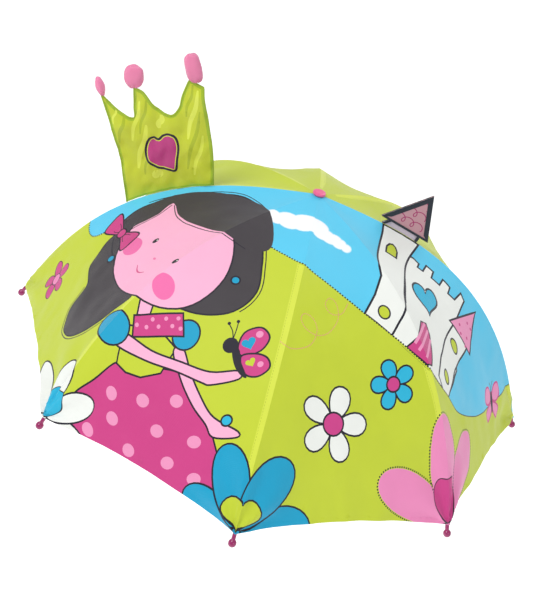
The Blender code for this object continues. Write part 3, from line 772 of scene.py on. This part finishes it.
def cloth_material(name, colour=None, roughness=0.52, sheen=0.25, mottle=0.05, crumple=0.0):
    """Woven polyester: a colour or the piece's own print, fine threads, faint mottling and a soft sheen."""
    made, nodes, links, shader = new_material(name, colour or (0.5, 0.5, 0.5), roughness)
    source = colour
    if colour is None:
        printed = nodes.new("ShaderNodeVertexColor")
        printed.layer_name = "Print"
        source = printed.outputs["Color"]
    place = add_mottle(nodes, links, shader, source, mottle, 14)
    height = weave(nodes, links, place, 420)
    if crumple:
        folds = nodes.new("ShaderNodeTexNoise")
        folds.inputs["Scale"].default_value = 26
        folds.inputs["Detail"].default_value = 3
        folds.inputs["Distortion"].default_value = 1.2
        links.new(place.outputs["Object"], folds.inputs["Vector"])
        joined = nodes.new("ShaderNodeMath")
        joined.operation = "MULTIPLY_ADD"
        joined.inputs[1].default_value = crumple
        links.new(folds.outputs["Fac"], joined.inputs[0])
        links.new(height, joined.inputs[2])
        height = joined.outputs["Value"]
    add_bump(nodes, links, shader, height, 0.25, 0.0004)
    shader.inputs["Sheen Weight"].default_value = sheen
    shader.inputs["Sheen Roughness"].default_value = 0.4
    shader.inputs["Specular IOR Level"].default_value = 0.35
    return made


def plastic_material(name, colour, roughness=0.28, coat=0.4):
    """Moulded plastic: slight cloudiness in the colour and a faint orange-peel surface under a gloss."""
    made, nodes, links, shader = new_material(name, colour, roughness)
    place = add_mottle(nodes, links, shader, colour, 0.06, 60)
    peel = nodes.new("ShaderNodeTexNoise")
    peel.inputs["Scale"].default_value = 420
    links.new(place.outputs["Object"], peel.inputs["Vector"])
    add_bump(nodes, links, shader, peel.outputs["Fac"], 0.12, 0.0003)
    shader.inputs["Coat Weight"].default_value = coat
    shader.inputs["Coat Roughness"].default_value = 0.12
    return made


def metal_material(name, colour, roughness):
    """Drawn steel: fine lines along the wire and uneven brightness."""
    made, nodes, links, shader = new_material(name, colour, roughness, 1.0)
    place = add_mottle(nodes, links, shader, colour, 0.08, 90)
    lines = nodes.new("ShaderNodeTexNoise")
    lines.inputs["Scale"].default_value = 900
    lines.inputs["Detail"].default_value = 2
    links.new(place.outputs["Object"], lines.inputs["Vector"])
    add_bump(nodes, links, shader, lines.outputs["Fac"], 0.15, 0.0002)
    return made


def felt_material(name, colour):
    """Pressed felt: rough, with short random fibres."""
    made, nodes, links, shader = new_material(name, colour, 0.92)
    place = add_mottle(nodes, links, shader, colour, 0.25, 300)
    fibres = nodes.new("ShaderNodeTexNoise")
    fibres.inputs["Scale"].default_value = 1500
    fibres.inputs["Detail"].default_value = 6
    links.new(place.outputs["Object"], fibres.inputs["Vector"])
    add_bump(nodes, links, shader, fibres.outputs["Fac"], 0.6, 0.0008)
    shader.inputs["Sheen Weight"].default_value = 0.5
    return made


PRINTED_CLOTH = cloth_material("printed polyester")
LIME_SATIN = cloth_material("lime satin", None, 0.26, 0.3, 0.22, 2.5)
PINK_SATIN = cloth_material("pink satin", srgb(226, 128, 166), 0.22, 0.3, 0.3, 4.5)
TURRET_CLOTH = cloth_material("turret cloth", None, 0.5, 0.3, 0.08, 0.0)
PIPING = cloth_material("piping", srgb(150, 176, 36), 0.4, 0.3, 0.08, 0.0)
FELT = felt_material("navy felt", srgb(22, 32, 44))
TIP_PLASTIC = plastic_material("magenta plastic", srgb(152, 10, 94), 0.2, 0.6)
CAP_PLASTIC = plastic_material("pink plastic", srgb(236, 96, 146), 0.3, 0.4)
WHITE_PLASTIC = plastic_material("white plastic", srgb(228, 228, 226), 0.38, 0.2)
STEEL = metal_material("plated steel", srgb(200, 202, 206), 0.3)
SHAFT_STEEL = metal_material("plated shaft", srgb(208, 210, 214), 0.24)


# ---------------------------------------------------------------- the canopy

def half_gore_domain(number, side):
    """The outline of half a gore on the pattern, anticlockwise, and the inner edge of its hem."""
    rib = rib_azimuth(number)
    middle = rib + side * HALF
    on_rib = heading(rib)
    on_middle = heading(middle) * math.cos(HALF)
    rows = range(SEAM_ROWS + 1)
    reach = [FABRIC_IN + HINGE_RADIUS + (FABRIC_OUT - FABRIC_IN) * k / SEAM_ROWS for k in rows]
    top_middle = FABRIC_OUT - HEM_RISE + HINGE_RADIUS
    middle_rows = [FABRIC_IN + HINGE_RADIUS + (top_middle - FABRIC_IN - HINGE_RADIUS) * k / SEAM_ROWS
                   for k in rows]

    def hem_point(towards, inset=0.0):
        at = FABRIC_OUT - HEM_RISE * towards * (2 - towards) + HINGE_RADIUS - inset
        return on_rib.lerp(on_middle, towards) * at

    hem = [hem_point(k / HEM_STEPS) for k in range(1, HEM_STEPS)]
    inner = [hem_point(k / HEM_STEPS, HEM_WIDTH) for k in range(HEM_STEPS + 1)]
    ring = [on_rib * r for r in reach] + hem + [on_middle * r for r in reversed(middle_rows)]
    if side < 0:
        ring.reverse()
    return ring, inner


def seam_shapes(number, side):
    """The folded seam allowance on one side of a rib, drawn a lighter lime as a painted highlight along the
    seam, and the stitches that hold it.
    """
    out = heading(rib_azimuth(number))
    square = Vector((-out.y, out.x)) * side
    art = Print()
    far = FABRIC_OUT + HINGE_RADIUS
    if side < 0:
        past = out * (far + 20)
        # Painted highlight: the strip over the seam allowance is a lighter lime than the cloth round it.
        art.fill(SEAM_HIGHLIGHT_AND_HEART_TRIM, [out * 30 - square * 5, past - square * 5, past + square * SEAM_WIDTH,
                             out * 60 + square * SEAM_WIDTH, out * 30 + square * SEAM_WIDTH * 0.5])
        line = [out * (60 + 5 * k) + square * (SEAM_WIDTH - 1.4) for k in range(79)]
        art.dashes(line, 3.6, 0.6, 0.5, THREAD)
    return art.shapes


def make_canopy(art):
    for number in range(RIBS):
        label = number + 1
        for side, word in ((1, "right"), (-1, "left")):
            domain, hem_line = half_gore_domain(number, side)
            shapes = seam_shapes(number, side)
            if (number, side) in PRINTED:
                shapes = shapes + art.shapes
            verts, faces, colours = cut_sheet(domain, shapes, LIME, CLOTH_GRID, [hem_line])
            cloth = shell(f"gore_{label}_{word}", verts, faces, colours,
                          lambda p: cloth_point(p, number, side, CLOTH_LIFT + CLOTH_THICK),
                          lambda p: cloth_point(p, number, side, CLOTH_LIFT), 0.22)
            cloth.data.materials.append(PRINTED_CLOTH)
            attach(cloth, f"pleat_{label}_{word}")
            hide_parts(f"canopy_{label}_{word}")
            flatten(cloth)


def flatten(piece):
    """Gives a piece its own copy of its mesh."""
    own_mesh(piece)


# ---------------------------------------------------------------- turned and swept pieces

def add_ring(bm, centre, across, up, radius, sides):
    return [bm.verts.new(centre + radius * (math.cos(2 * math.pi * k / sides) * across
                                            + math.sin(2 * math.pi * k / sides) * up)) for k in range(sides)]


def bridge(bm, first, second):
    count = len(first)
    for k in range(count):
        bm.faces.new([first[k], first[(k + 1) % count], second[(k + 1) % count], second[k]])


def add_tube(bm, points, radius, sides=12, square=Vector((0, 1, 0)), shares=None):
    """A round rod along points that lie in a plane, whose normal is square, with closed ends."""
    points = [Vector(p) for p in points]
    rings = []
    for k, spot in enumerate(points):
        way = (points[min(k + 1, len(points) - 1)] - points[max(k - 1, 0)]).normalized()
        up = way.cross(square).normalized()
        share = shares[k] if shares else 1.0
        rings.append(add_ring(bm, spot, square, up, radius * share, sides))
    for first, second in zip(rings, rings[1:]):
        bridge(bm, first, second)
    for ring, way in ((rings[0], -1), (rings[-1], 1)):
        bm.faces.new(ring[::-way] if way == 1 else ring)


def add_turned(bm, profile, base, axis, sides=28):
    """A solid of revolution about an axis through base. profile runs from the axis round to the axis again,
    as (radius, distance along the axis)."""
    axis = Vector(axis).normalized()
    across = axis.orthogonal().normalized()
    up = axis.cross(across)
    base = Vector(base)
    before = None
    for radius, along in profile:
        centre = base + axis * along
        if radius < 1e-6:
            ring = [bm.verts.new(centre)] * sides
        else:
            ring = add_ring(bm, centre, across, up, radius, sides)
        if before is not None:
            for k in range(sides):
                corners = [before[k], before[(k + 1) % sides], ring[(k + 1) % sides], ring[k]]
                corners = [c for j, c in enumerate(corners) if c not in corners[:j]]
                if len(corners) > 2:
                    bm.faces.new(corners)
        before = ring


def rounded(profile, steps=3):
    """A profile with its corners softened, by cutting them back a few times. The ends stay."""
    points = [Vector(p) for p in profile]
    for _ in range(steps):
        cut = [points[0]]
        for a, b in zip(points, points[1:]):
            cut += [a.lerp(b, 0.25), a.lerp(b, 0.75)]
        points = cut[:1] + cut[2:-1] + [points[-1]]
    return [(p.x, p.y) for p in points]


def finish_mesh(bm, name, matrix, material, angle=40):
    """Closes off a mesh that was built in millimetres, shades it and puts it in the world."""
    bmesh.ops.remove_doubles(bm, verts=bm.verts, dist=1e-5)
    bmesh.ops.recalc_face_normals(bm, faces=bm.faces)
    mesh = bpy.data.meshes.new(name)
    bm.to_mesh(mesh)
    bm.free()
    mesh.transform(matrix)
    for polygon in mesh.polygons:
        polygon.use_smooth = True
    mesh.set_sharp_from_angle(angle=math.radians(angle))
    mesh.materials.append(material)
    item = bpy.data.objects.new(name, mesh)
    bpy.context.scene.collection.objects.link(item)
    return item


def in_plane(radius, height):
    return Vector((radius, 0, height))


RIVET_AT = rib_point(RIB_ARC * STRETCHER_ARC, -STRETCHER_DROP)
FOOT_HEIGHT = RIVET_AT[1] - math.sqrt(STRETCHER_LENGTH ** 2 - (RIVET_AT[0] - RUNNER_EYE_RADIUS) ** 2)
BUTTON = [(0, -2.9), (0.9, -2.85), (1.35, -2.5), (1.35, -2.3), (0.7, -2.25), (0.7, 2.25), (1.35, 2.3),
          (1.35, 2.5), (0.9, 2.85), (0, 2.9)]


def make_ribs():
    """Rods with a saddle for the stretcher, and an eye on the notch's wire."""
    for number in range(RIBS):
        bm = bmesh.new()
        reach = RIB_ARC - 3.5
        arcs = [1.1 + (reach - 1.1) * k / 64 for k in range(65)]
        add_tube(bm, [in_plane(*rib_point(a)) for a in arcs], RIB_ROD)
        eye = [(0.8, -1.0), (1.5, -1.0), (1.75, -0.7), (1.75, 0.7), (1.5, 1.0), (0.8, 1.0), (0.8, -1.0)]
        add_turned(bm, eye, (HINGE_RADIUS, 0, 0), (0, 1, 0), 20)
        saddle = RIB_ARC * STRETCHER_ARC
        for part in (-1, 1):
            add_saddle_side(bm, saddle, part)
        clip = [in_plane(*rib_point(saddle + k, 0.0)) for k in range(-5, 6)]
        add_tube(bm, clip, 1.75)
        rib = finish_mesh(bm, f"rib_rod_{number + 1}", rib_matrix(number), STEEL)
        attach(rib, f"rib_{number + 1}")
        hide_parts(f"rib_{number + 1}")
        flatten(rib)


def add_saddle_side(bm, arc, part):
    """One cheek of the saddle: a small plate, round at the rivet."""
    centre = in_plane(*RIVET_AT)
    angle = slope(arc / RIB_ARC)
    along, up = Vector((math.cos(angle), 0, -math.sin(angle))), Vector((math.sin(angle), 0, math.cos(angle)))
    rim = [centre + 2.5 * (math.cos(t) * along + math.sin(t) * up)
           for t in (math.radians(180 + 15 * k) for k in range(13))]
    rim += [centre + 3.4 * along + 4.0 * up, centre - 3.4 * along + 4.0 * up]
    near, far = (Vector((0, part * y, 0)) for y in (1.0, 1.8))
    first, second = ([bm.verts.new(p + shift) for p in rim] for shift in (near, far))
    bridge(bm, first, second)
    bm.faces.new(first)
    bm.faces.new(second[::-1])


def make_stretchers():
    """Rods from the runner to the ribs' saddles, with a flattened neck and a rivet at the top."""
    top, foot = in_plane(*RIVET_AT), in_plane(STRETCHER_FOOT, FOOT_HEIGHT)
    way = (foot - top).normalized()
    side = way.cross(Vector((0, 1, 0)))
    for number in range(RIBS):
        bm = bmesh.new()
        count = 12
        add_tube(bm, [top.lerp(foot, 0.02 + 0.98 * k / count) for k in range(count + 1)], STRETCHER_ROD)
        rim = [top + 2.0 * (math.cos(t) * way + math.sin(t) * side) for t in
               (math.radians(90 + 15 * k) for k in range(13))]
        rim += [top + way * 8 - side * 1.0, top + way * 8 + side * 1.0]
        first, second = ([bm.verts.new(p + Vector((0, y, 0))) for p in rim] for y in (-0.6, 0.6))
        bridge(bm, first, second)
        bm.faces.new(first)
        bm.faces.new(second[::-1])
        add_turned(bm, BUTTON, top, (0, 1, 0), 16)
        rod = finish_mesh(bm, f"stretcher_rod_{number + 1}", rib_matrix(number), STEEL)
        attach(rod, f"stretcher_{number + 1}")
        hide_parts(f"stretcher_{number + 1}")
        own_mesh(rod)


def make_tips():
    """Moulded balls with a stem that grips the cloth's corner."""
    profile = [(0, 4.8), (2.6, 4.6), (4.5, 2.6), (5.0, 0), (4.5, -2.6), (2.9, -4.2), (2.4, -5.4), (2.6, -7.0),
               (2.4, -11.4), (1.7, -12.4), (0, -12.4)]
    end = math.radians(SLOPE_AT_TIP)
    for number in range(RIBS):
        bm = bmesh.new()
        add_turned(bm, rounded(profile, 2), in_plane(*rib_point(RIB_ARC)),
                   (math.cos(end), 0, -math.sin(end)), 28)
        tip = finish_mesh(bm, f"tip_ball_{number + 1}", rib_matrix(number), TIP_PLASTIC, 60)
        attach(tip, f"rib_{number + 1}")
        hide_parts(f"rib_tip_{number + 1}")


def make_handle():
    """A moulded crook with a round section and a domed end, curling towards +Y."""
    half, bend, upturn, radius = GRIP_HALF, CROOK_BEND, CROOK_UPTURN, GRIP_RADIUS
    path = [Vector((0, 0, half - 2 * half * k / 16)) for k in range(17)]
    path += [Vector((0, bend - bend * math.cos(t), -half - bend * math.sin(t)))
             for t in (math.pi * k / 40 for k in range(1, 40))]
    path += [Vector((0, 2 * bend, -half + upturn * k / 5)) for k in range(6)]
    dome = [math.radians(9 * k) for k in range(1, 10)]
    path += [Vector((0, 2 * bend, -half + upturn + radius * math.sin(t))) for t in dome]
    shares = [0.94, 0.985] + [1.0] * (len(path) - len(dome) - 2) + [math.cos(t) for t in dome]
    bm = bmesh.new()
    add_tube(bm, path, radius, 36, shares=shares)
    crook = finish_mesh(bm, "handle_crook", Matrix.Scale(MM, 4), TIP_PLASTIC, 50)
    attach(crook, "shaft")
    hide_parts("handle")


# ---------------------------------------------------------------- the crown and the turret

def clearance(points, ring):
    """Each point's distance from an outline."""
    start = np.array([(p.x, p.y) for p in ring])
    run = np.roll(start, -1, axis=0) - start
    size = np.maximum((run ** 2).sum(axis=1), 1e-12)
    offset = points[:, None, :] - start[None]
    share = np.clip((offset * run[None]).sum(axis=2) / size[None], 0, 1)
    return np.sqrt(((offset - share[..., None] * run[None]) ** 2).sum(axis=2)).min(axis=1)


def pad(name, ring, art, base, grid, number, edge, swell, reach, material, folds=None):
    """A sewn double layer in a rib's plane: thin along its edge, and standing off by swell further in. folds
    gives how far both layers lean to one side at a point."""
    ring = straight(ring, grid)
    if area_of(ring) < 0:
        ring.reverse()
    verts, faces, colours = cut_sheet(ring, art.shapes, base, grid)
    depth = clearance(np.array([(v.x, v.y) for v in verts]), ring)
    thick = {(v.x, v.y): edge + swell * (1 - math.exp(-d / reach)) for v, d in zip(verts, depth)}
    place = rib_matrix(number)

    def put(point, way):
        lean = folds(point) if folds else 0.0
        return place @ Vector((point.x, lean - way * thick[(point.x, point.y)], point.y))

    made = shell(name, verts, faces, colours, lambda p: put(p, 1), lambda p: put(p, -1))
    made.data.materials.append(material)
    return made


def seam_line(start, end, count, lift):
    """(radius, height) points over a stretch of rib, between two radii."""
    found = []
    for k in range(count + 1):
        wanted = arc = start + (end - start) * k / count
        for _ in range(12):
            arc += wanted - rib_point(arc, lift)[0]
        found.append(Vector(rib_point(arc, lift)))
    return found


def crown_fold(point):
    """Soft creases that run from the crown's base up into its three points."""
    x, y = point
    fan = math.atan2(x - 200, y + 190)
    rise = 1.1 * math.sin(fan * 46 + 1.3 * math.sin(y / 23)) * min(max((y + 20) / 60, 0.15), 1)
    rise += 3.0 * noise.noise(Vector((x / 22, y / 30, 3.0)))
    rise += 2.0 * noise.noise(Vector((x / 9, y / 16, 8.0)))
    return rise


def crown_outline():
    base = seam_line(134, 239, 8, 3.7)
    left = curve_through([base[-1], (256, -24), (274, 14), (295, 57)], 6, closed=False)
    valley = curve_through([(295, 57), (283, 48), (268, 40), (250, 37), (252, 52), (256, 77)], 5,
                           closed=False)
    other = curve_through([(256, 77), (244, 74), (228, 60), (206, 54), (197, 66), (196, 84), (192, 105)], 5,
                          closed=False)
    top = straight([(192, 105), (173, 101)], 6, closed=False)
    right = curve_through([(173, 101), (168, 84), (155, 49), (144, 18), base[0]], 6, closed=False)
    return base, left[1:] + valley[1:] + other[1:] + top[1:] + right[1:-1]


def make_crown():
    base, rest = crown_outline()
    art = Print()
    ring = straight(base + rest, 4.5)
    art.fill(srgb(160, 188, 40), grown(ring, 3.0))
    art.fill(srgb(192, 204, 48), grown(ring, -3.0))
    # Painted highlights and painted shade: lighter and darker lime streaks along the crown's creases,
    # standing in for the light and shade on its folds.
    for x, foot, top, wide, painted_highlight_shade in ((232, -28, 34, 7, (214, 226, 78)), (216, 34, 52, 8, (216, 228, 84)),
                                      (246, 8, 62, 5, (214, 226, 78)), (262, 0, 40, 5, (168, 184, 38)),
                                      (178, 30, 96, 6, (216, 228, 84)), (170, -10, 70, 5, (168, 184, 38)),
                                      (186, 58, 100, 4, (170, 186, 38)), (238, 20, 66, 4, (168, 184, 38)),
                                      (160, -16, 40, 5, (212, 224, 74)), (206, -34, -22, 12, (214, 226, 78)),
                                      (274, 22, 46, 3, (216, 228, 84)), (222, -34, 6, 4, (168, 184, 38))):
        painted_crease_streak = [(x, foot), (x + 2, (2 * foot + top) / 3), (x - 1, (foot + 2 * top) / 3), (x + 1, top)]
        art.stroke(curve_through(painted_crease_streak, 5, False), wide, srgb(*painted_highlight_shade), True)
    heart = curve_through([(184, -17), (185, 1), (187, 17), (193, 28), (202, 31), (210, 27), (215, 20),
                           (221, 21), (227, 16), (229, 4), (226, -10), (219, -17), (208, -20), (196, -19)],
                          6)
    art.fill(INK, grown(heart, 0.4))
    art.fill(SEAM_HIGHLIGHT_AND_HEART_TRIM, grown(heart, -2.6))
    art.fill(srgb(186, 58, 126), grown(heart, -3.6))
    crown = pad("crown_fin", base + rest, art, srgb(196, 206, 52), 4.5, CROWN_RIB, 0.5, 1.6, 7.0, LIME_SATIN,
                crown_fold)
    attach(crown, "crown")
    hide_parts("crown")

    bm = bmesh.new()
    line = [in_plane(p.x, p.y) + Vector((0, crown_fold(p), 0)) for p in [base[-1]] + rest + [base[0]]]
    add_tube(bm, line, 1.25, 10)
    edge = finish_mesh(bm, "crown_piping", rib_matrix(CROWN_RIB), PIPING, 60)
    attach(edge, "crown")
    for label, x, z, wide, tall, lean, square in ((1, 298, 67, 5.6, 12.5, 24, 1.9), (2, 259, 91, 12, 15, 6,
                                                                                     2.3),
                                                  (3, 190, 122, 10.2, 18, 24, 3.0)):
        make_puff(label, x, z, wide, tall, lean, square)


def make_puff(label, x, z, wide, tall, lean, square):
    """A stuffed satin knob, gathered at its neck, with soft dents."""
    bm = bmesh.new()
    rows, columns = 28, 36
    rings = []
    for i in range(1, rows):
        t = math.pi * i / rows - math.pi / 2
        ring = []
        for j in range(columns):
            a = 2 * math.pi * j / columns
            ct, st, ca, sa = math.cos(t), math.sin(t), math.cos(a), math.sin(a)
            power = 2 / square
            across = math.copysign(abs(ca) ** power, ca) * abs(ct) ** power
            deep = sa * abs(ct) ** power
            high = math.copysign(abs(st) ** power, st)
            gather = 0.06 * math.sin(9 * a) * max(-st, 0) ** 2
            dent = 0.10 * noise.noise(Vector((across * 1.6 + label * 5, deep * 1.6, high * 1.6)))
            swell = 1 + gather + dent
            ring.append(bm.verts.new((across * wide * swell, deep * 6.5 * swell, high * tall * swell)))
        rings.append(ring)
    for first, second in zip(rings, rings[1:]):
        bridge(bm, first, second)
    for ring, height in ((rings[0], -tall), (rings[-1], tall)):
        pole = bm.verts.new((0, 0, height))
        for k in range(columns):
            bm.faces.new([ring[k], ring[(k + 1) % columns], pole])
    turn = Matrix.Translation((x, 0, z)) @ Matrix.Rotation(math.radians(lean), 4, "Y")
    puff = finish_mesh(bm, f"crown_knob_{label}", rib_matrix(CROWN_RIB) @ turn, PINK_SATIN, 80)
    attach(puff, "crown")
    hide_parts(f"crown_puff_{label}")


def make_turret():
    wall_base = seam_line(88, 139, 6, 3.7)
    low_left, low_right = wall_base[0], wall_base[-1]
    top_right, top_left = Vector((141, -18.5)), Vector((98, -3))
    wall = pad("turret_wall_cloth", wall_base + [top_right, top_left], Print(), srgb(196, 184, 196), 4.0,
               TURRET_RIB, 0.7, 0.7, 5.0, TURRET_CLOTH)
    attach(wall, "turret")
    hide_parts("turret_wall")
    left, apex, right = Vector((85, -1)), Vector((140, 44)), Vector((153, -21))
    art = Print()
    scribble = srgb(160, 40, 100)
    for start, run, loops in (((100, 3), (38, -12), 3), ((112, 14), (26, -8), 2), ((125, 25), (12, -4), 1)):
        line = []
        for k in range(24 * loops + 1):
            t = 2 * math.pi * k / 24
            line.append(Vector(start) + Vector(run) * (t / (2 * math.pi * loops))
                        + 5.0 * Vector((-math.sin(t), 1 - math.cos(t))))
        art.dashes(line, 2.0, 1.15, 1.2, scribble)
    roof = pad("turret_roof_cloth", [left, right, apex], art, srgb(190, 142, 150), 3.5, TURRET_RIB, 1.0,
               0.9, 5.0, TURRET_CLOTH)
    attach(roof, "turret")
    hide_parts("turret_roof")
    centre = (left + right + apex) / 3
    bars = []
    for a, b, wide in ((left, apex, 6.0), (apex, right, 6.0), (left, right, 3.0)):
        near, far = (c.lerp(centre, wide / clearance(np.array([centre]), [left, right, apex])[0])
                     for c in (a, b))
        bars.append([a, b, far, near])
    middle = (low_left + low_right + top_left + top_right) / 4
    for a, b in ((low_left, top_left), (low_right, top_right)):
        square = (middle - a).normalized() * 4.0
        bars.append([a, b, b + square, a + square])
    for label, ring in enumerate(bars, 1):
        bar = pad(f"turret_felt_{label}", ring, Print(), (0, 0, 0), 3.0, TURRET_RIB, 1.9 + 0.05 * label,
                  0.5, 1.5, FELT)
        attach(bar, "turret")


def make_strap():
    """The closing strap: a tape sewn on a back seam, with a stitched box at its sewn end."""
    start, length, wide = RIB_ARC * 0.80, RIB_ARC * 0.15, 15.0
    place = rib_matrix(STRAP_RIB)
    ring = [Vector((0, -wide / 2)), Vector((length, -wide / 2)), Vector((length, wide / 2)),
            Vector((0, wide / 2))]
    art = Print()
    box = [Vector((2, -5.5)), Vector((16, -5.5)), Vector((16, 5.5)), Vector((2, 5.5)), Vector((2, -5.5))]
    art.dashes(box, 2.4, 0.6, 0.5, THREAD)
    for side in (-1, 1):
        art.dashes([Vector((1, side * 6.4)), Vector((length - 1, side * 6.4))], 2.4, 0.6, 0.5, THREAD)

    def put(point, lift):
        arc = start + point.x
        drop = 0.02 * point.y ** 2
        radius, height = rib_point(arc, lift + 3.9 - drop + 0.3
                                   * noise.noise(Vector((point.x / 14, point.y / 9, 1))))
        return place @ Vector((radius, point.y, height))

    verts, faces, colours = cut_sheet(straight(ring, 3.0), art.shapes, srgb(190, 204, 48), 3.0)
    strap = shell("strap_tape", verts, faces, colours, lambda p: put(p, 0.9), lambda p: put(p, 0.0))
    strap.data.materials.append(PRINTED_CLOTH)
    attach(strap, f"rib_{STRAP_RIB + 1}")
    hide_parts("closing_strap")
    flatten(strap)


def dress_frame():
    """Finishes for the CAD nodes that stay."""
    finishes = {"shaft": SHAFT_STEEL, "runner": WHITE_PLASTIC, "top_notch": WHITE_PLASTIC,
                "notch_wire": STEEL, "runner_wire": STEEL, "top_cap": CAP_PLASTIC,
                "cap_washer": CAP_PLASTIC, "handle_collar": CAP_PLASTIC, "top_spring": STEEL,
                "bottom_spring": STEEL}
    for name, finish in finishes.items():
        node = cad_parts[name]
        if node.material_slots:
            for place in node.material_slots:
                place.material = finish
        else:
            node.data.materials.append(finish)


# ---------------------------------------------------------------- camera, light, stage

def make_camera():
    azimuth, elevation, roll = (math.radians(a) for a in (20.11, 32.62, 16.46))
    back = Vector((math.sin(azimuth) * math.cos(elevation), -math.cos(azimuth) * math.cos(elevation),
                   math.sin(elevation)))
    right = (-back).cross(Vector((0, 0, 1))).normalized()
    up = right.cross(-back)
    x_axis = math.cos(roll) * right + math.sin(roll) * up
    y_axis = -math.sin(roll) * right + math.cos(roll) * up
    data = bpy.data.cameras.new("camera")
    data.lens, data.sensor_width = 60.04, 36.0
    data.clip_start, data.clip_end = 0.02, 60
    camera = bpy.data.objects.new("camera", data)
    bpy.context.scene.collection.objects.link(camera)
    turn = Matrix((x_axis, y_axis, back)).transposed().to_4x4()
    camera.matrix_world = Matrix.Translation((0.3862, -1.1129, 1.0955)) @ turn
    bpy.context.scene.camera = camera


def make_light():
    scene = bpy.context.scene
    scene.view_settings.view_transform = "Standard"
    world = bpy.data.worlds.new("studio")
    world.use_nodes = True
    world.node_tree.nodes["Background"].inputs["Color"].default_value = (1, 1, 1, 1)
    world.node_tree.nodes["Background"].inputs["Strength"].default_value = 0.56
    scene.world = world
    for name, place, size, power in (("key", (-0.9, -1.3, 2.3), 1.0, 27), ("fill", (1.7, -1.2, 1.3), 1.6, 7),
                                     ("rear", (0.2, 1.6, 1.9), 1.4, 10)):
        data = bpy.data.lights.new(name, "AREA")
        data.size, data.energy = size, power
        lamp = bpy.data.objects.new(name, data)
        scene.collection.objects.link(lamp)
        lamp.location = place
        lamp.rotation_mode = "QUATERNION"
        lamp.rotation_quaternion = (Vector((0, 0, 0.4)) - Vector(place)).to_track_quat("-Z", "Y")


def make_stage():
    mesh = bpy.data.meshes.new("floor")
    wide = 14.0
    mesh.from_pydata([(-wide, -wide, 0), (wide, -wide, 0), (wide, wide, 0), (-wide, wide, 0)], [],
                     [(0, 1, 2, 3)])
    floor = bpy.data.objects.new("floor", mesh)
    bpy.context.scene.collection.objects.link(floor)
    floor.location = (0, 0, -0.6)
    made, nodes, links, shader = new_material("floor", (0.9, 0.9, 0.9), 0.9)
    add_mottle(nodes, links, shader, (0.93, 0.93, 0.93), 0.01, 2)
    shader.inputs["Emission Color"].default_value = (1, 1, 1, 1)
    shader.inputs["Emission Strength"].default_value = 0.55
    mesh.materials.append(made)


make_camera()
make_light()
make_stage()
make_canopy(draw_print())
make_ribs()
make_stretchers()
make_tips()
make_handle()
make_crown()
make_turret()
make_strap()
dress_frame()
